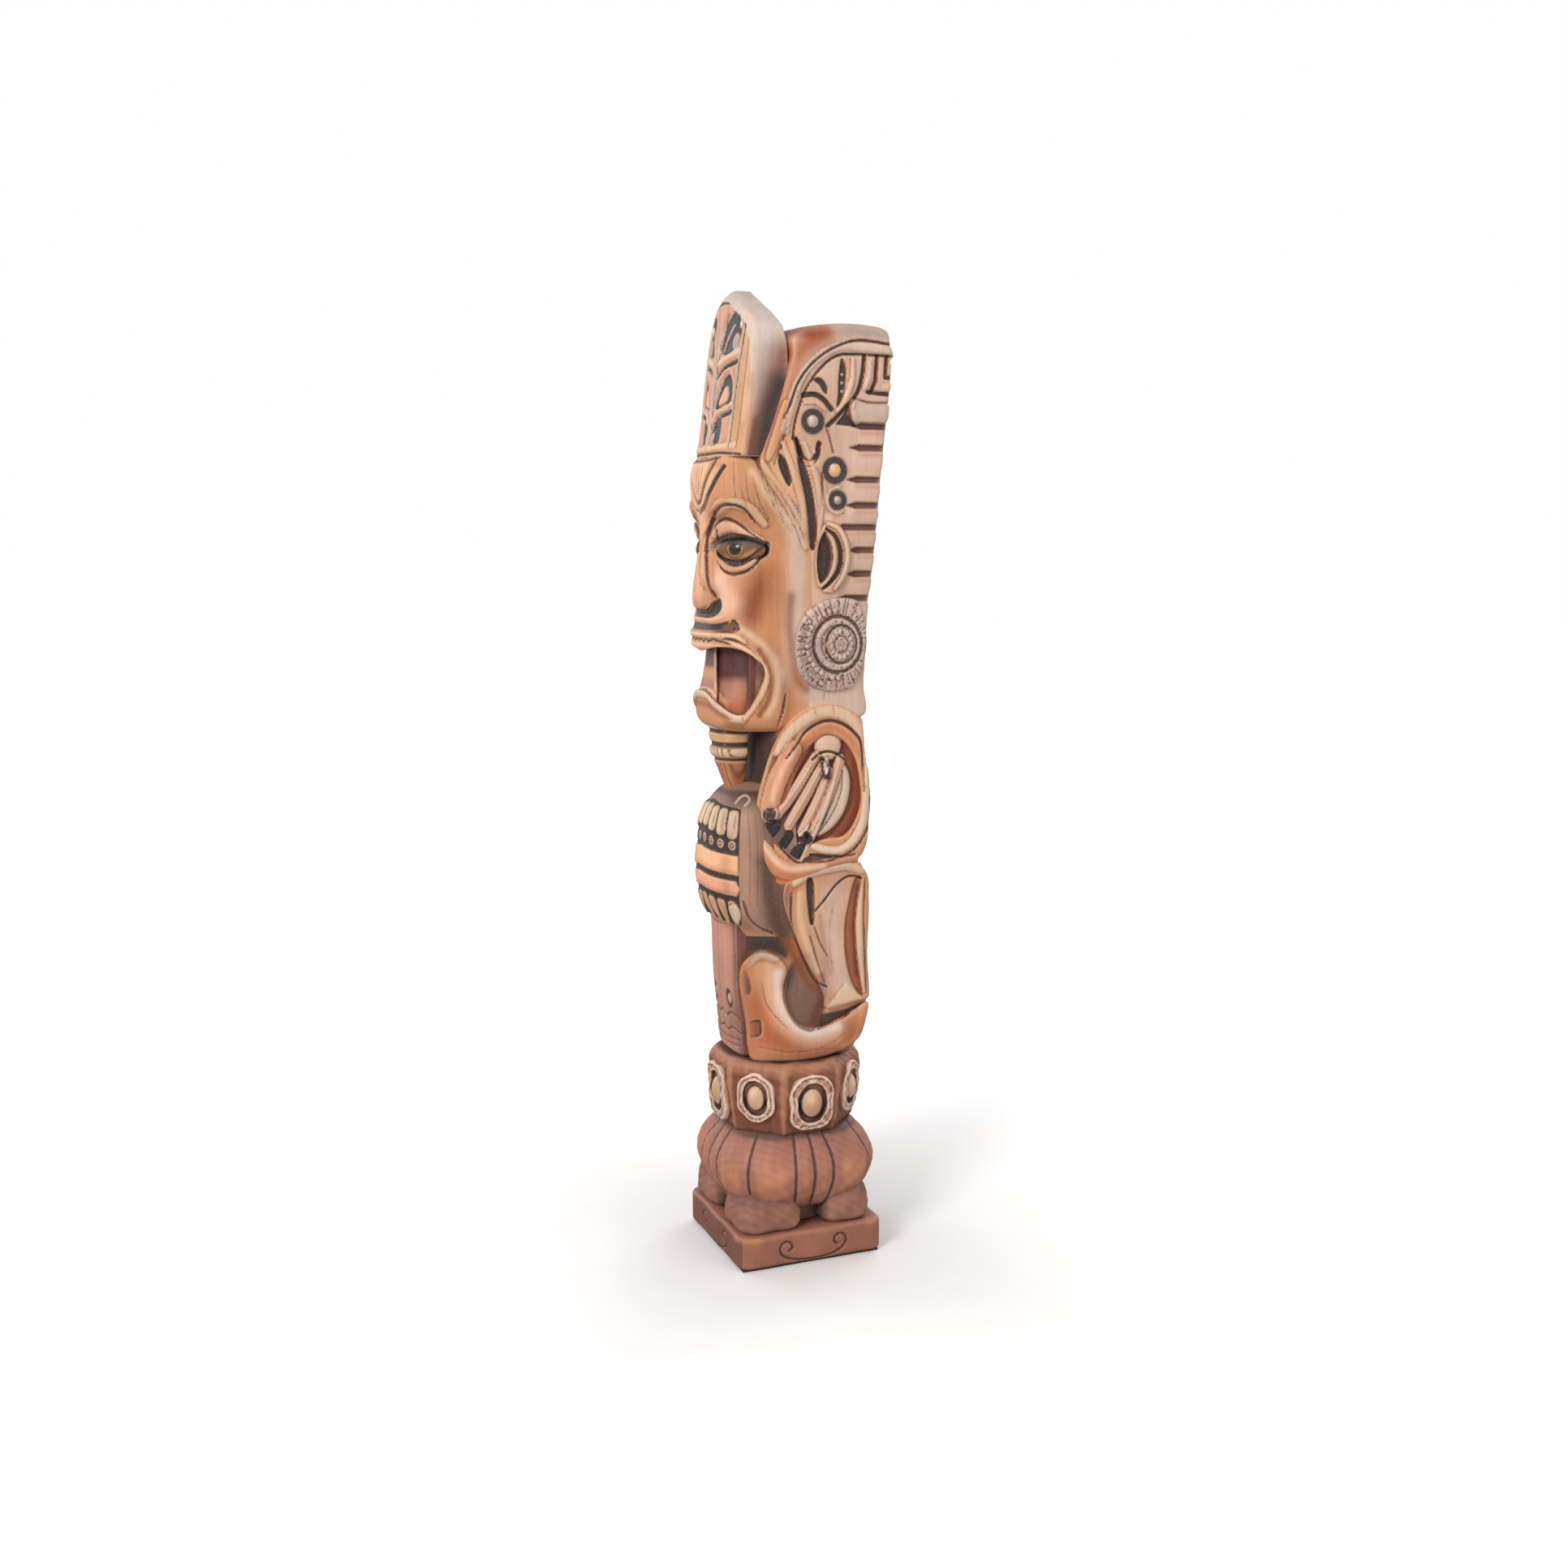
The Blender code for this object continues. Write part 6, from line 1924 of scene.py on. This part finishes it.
def floor_finish():
    """White paper: bright to the camera, but a weaker bounce on the figure."""
    n = Nodes("floor_paper")
    grain = n.noise(60, 3, 0.5)
    seen = n.add("ShaderNodeLightPath").outputs["Is Camera Ray"]
    paper = n.mix(n.ramp(grain, 0.3, 0.7), (0.95, 0.95, 0.95), (0.935, 0.935, 0.935))
    n.link(n.mix(seen, (0.45, 0.43, 0.41), paper), n.shader.inputs["Base Color"])
    n.shader.inputs["Emission Color"].default_value = (1, 1, 1, 1)
    away = n.add("ShaderNodeVectorMath", operation="LENGTH")
    n.link(n.place, away.inputs[0])
    glow = n.ramp(away.outputs["Value"], 0.08, 0.9)
    n.link(n.math("MULTIPLY", seen, glow), n.shader.inputs["Emission Strength"])
    n.shader.inputs["Roughness"].default_value = 0.8
    n.shader.inputs["Specular IOR Level"].default_value = 0.0
    return n.material


def studio_world():
    """White to the camera, softer as a light."""
    world = bpy.data.worlds.new("studio")
    world.use_nodes = True
    tree = world.node_tree
    background = tree.nodes["Background"]
    background.inputs["Color"].default_value = (1, 1, 1, 1)
    seen = tree.nodes.new("ShaderNodeLightPath")
    strength = tree.nodes.new("ShaderNodeMapRange")
    strength.inputs["To Min"].default_value = SKY_LIGHT
    strength.inputs["To Max"].default_value = 1.0
    tree.links.new(seen.outputs["Is Camera Ray"], strength.inputs["Value"])
    tree.links.new(strength.outputs["Result"], background.inputs["Strength"])
    return world


def area_light(name, place, target, size, power, colour):
    data = bpy.data.lights.new(name, "AREA")
    data.energy, data.size, data.color = power, size, colour
    lamp = bpy.data.objects.new(name, data)
    lamp.location = place
    lamp.rotation_euler = (Vector(target) - Vector(place)).to_track_quat("-Z", "Y").to_euler()
    bpy.context.scene.collection.objects.link(lamp)
    return lamp


def set_the_stage():
    scene = bpy.context.scene
    scene.view_settings.view_transform = "Standard"
    floor_mesh = bpy.data.meshes.new("floor")
    reach = 6.0
    floor_mesh.from_pydata([(-reach, -reach, 0), (reach, -reach, 0), (reach, reach, 0), (-reach, reach, 0)],
                           [], [(0, 1, 2, 3)])
    floor_mesh.materials.append(floor_finish())
    floor = bpy.data.objects.new("floor", floor_mesh)
    scene.collection.objects.link(floor)
    middle = (0, 0, 0.24)
    lamps = [
        area_light("key", (0.9, -1.2, 1.0), middle, 0.5, 15, (1.0, 0.97, 0.94)),
        area_light("fill", (1.6, 0.9, 0.6), middle, 1.2, 7, (1.0, 0.98, 0.97)),
        area_light("rear", (-1.0, 1.2, 0.9), middle, 1.0, 8, (1.0, 1.0, 1.0)),
        area_light("far", (-1.3, -0.8, 0.7), middle, 1.0, 6, (1.0, 1.0, 1.0)),
    ]
    scene.world = studio_world()


def place_camera():
    data = bpy.data.cameras.new("camera")
    data.angle = VIEW_ANGLE
    camera = bpy.data.objects.new("camera", data)
    camera.location = Vector(VIEWER) * MM
    aim = Vector((0, 0, VIEW_TARGET_HEIGHT)) * MM - camera.location
    camera.rotation_euler = aim.to_track_quat("-Z", "Y").to_euler()
    bpy.context.scene.collection.objects.link(camera)
    bpy.context.scene.camera = camera


def main():
    wood = carved_finish("carved_wood", 0.5, 0.2, 0.25, 0.0, 0.05)
    base_wood = carved_finish("base_wood", 0.55, 0.12, 0.35, 0.0, 0.05)
    metal = carved_finish("worn_gold", 0.4, 0.12, 0.35, 0.1, 0.2)
    stone = carved_finish("pitted_stone", 0.65, 0.1, 0.3, 0.6, 0.15)
    slate = carved_finish("slate_paint", 0.5, 0.2, 0.25, 0.0, 0.03)
    dress_cad_nodes(
        plain_finish("dowel_wood", linear(176, 128, 88), 0.7, (1, 1, 0.06)),
        plain_finish("dark_felt", linear(44, 42, 42), 0.95),
    )
    make_plinth(base_wood)
    for rank, y, half in (("front", -21, 17.5), ("back", 21, 14)):
        for side_name, side in (("left", 1), ("right", -1)):
            make_foot(f"{rank}_{side_name}_foot", side, y, half, base_wood)
    make_bulb(base_wood)
    make_collar(base_wood)
    make_jewels(metal, metal)
    make_lower_body(wood)
    make_loincloth(wood)
    make_upper_body(wood)
    make_belly(wood)
    make_breastplate(wood)
    make_beard(wood)
    make_head_parts(wood, stone, slate)
    set_the_stage()
    place_camera()


main()
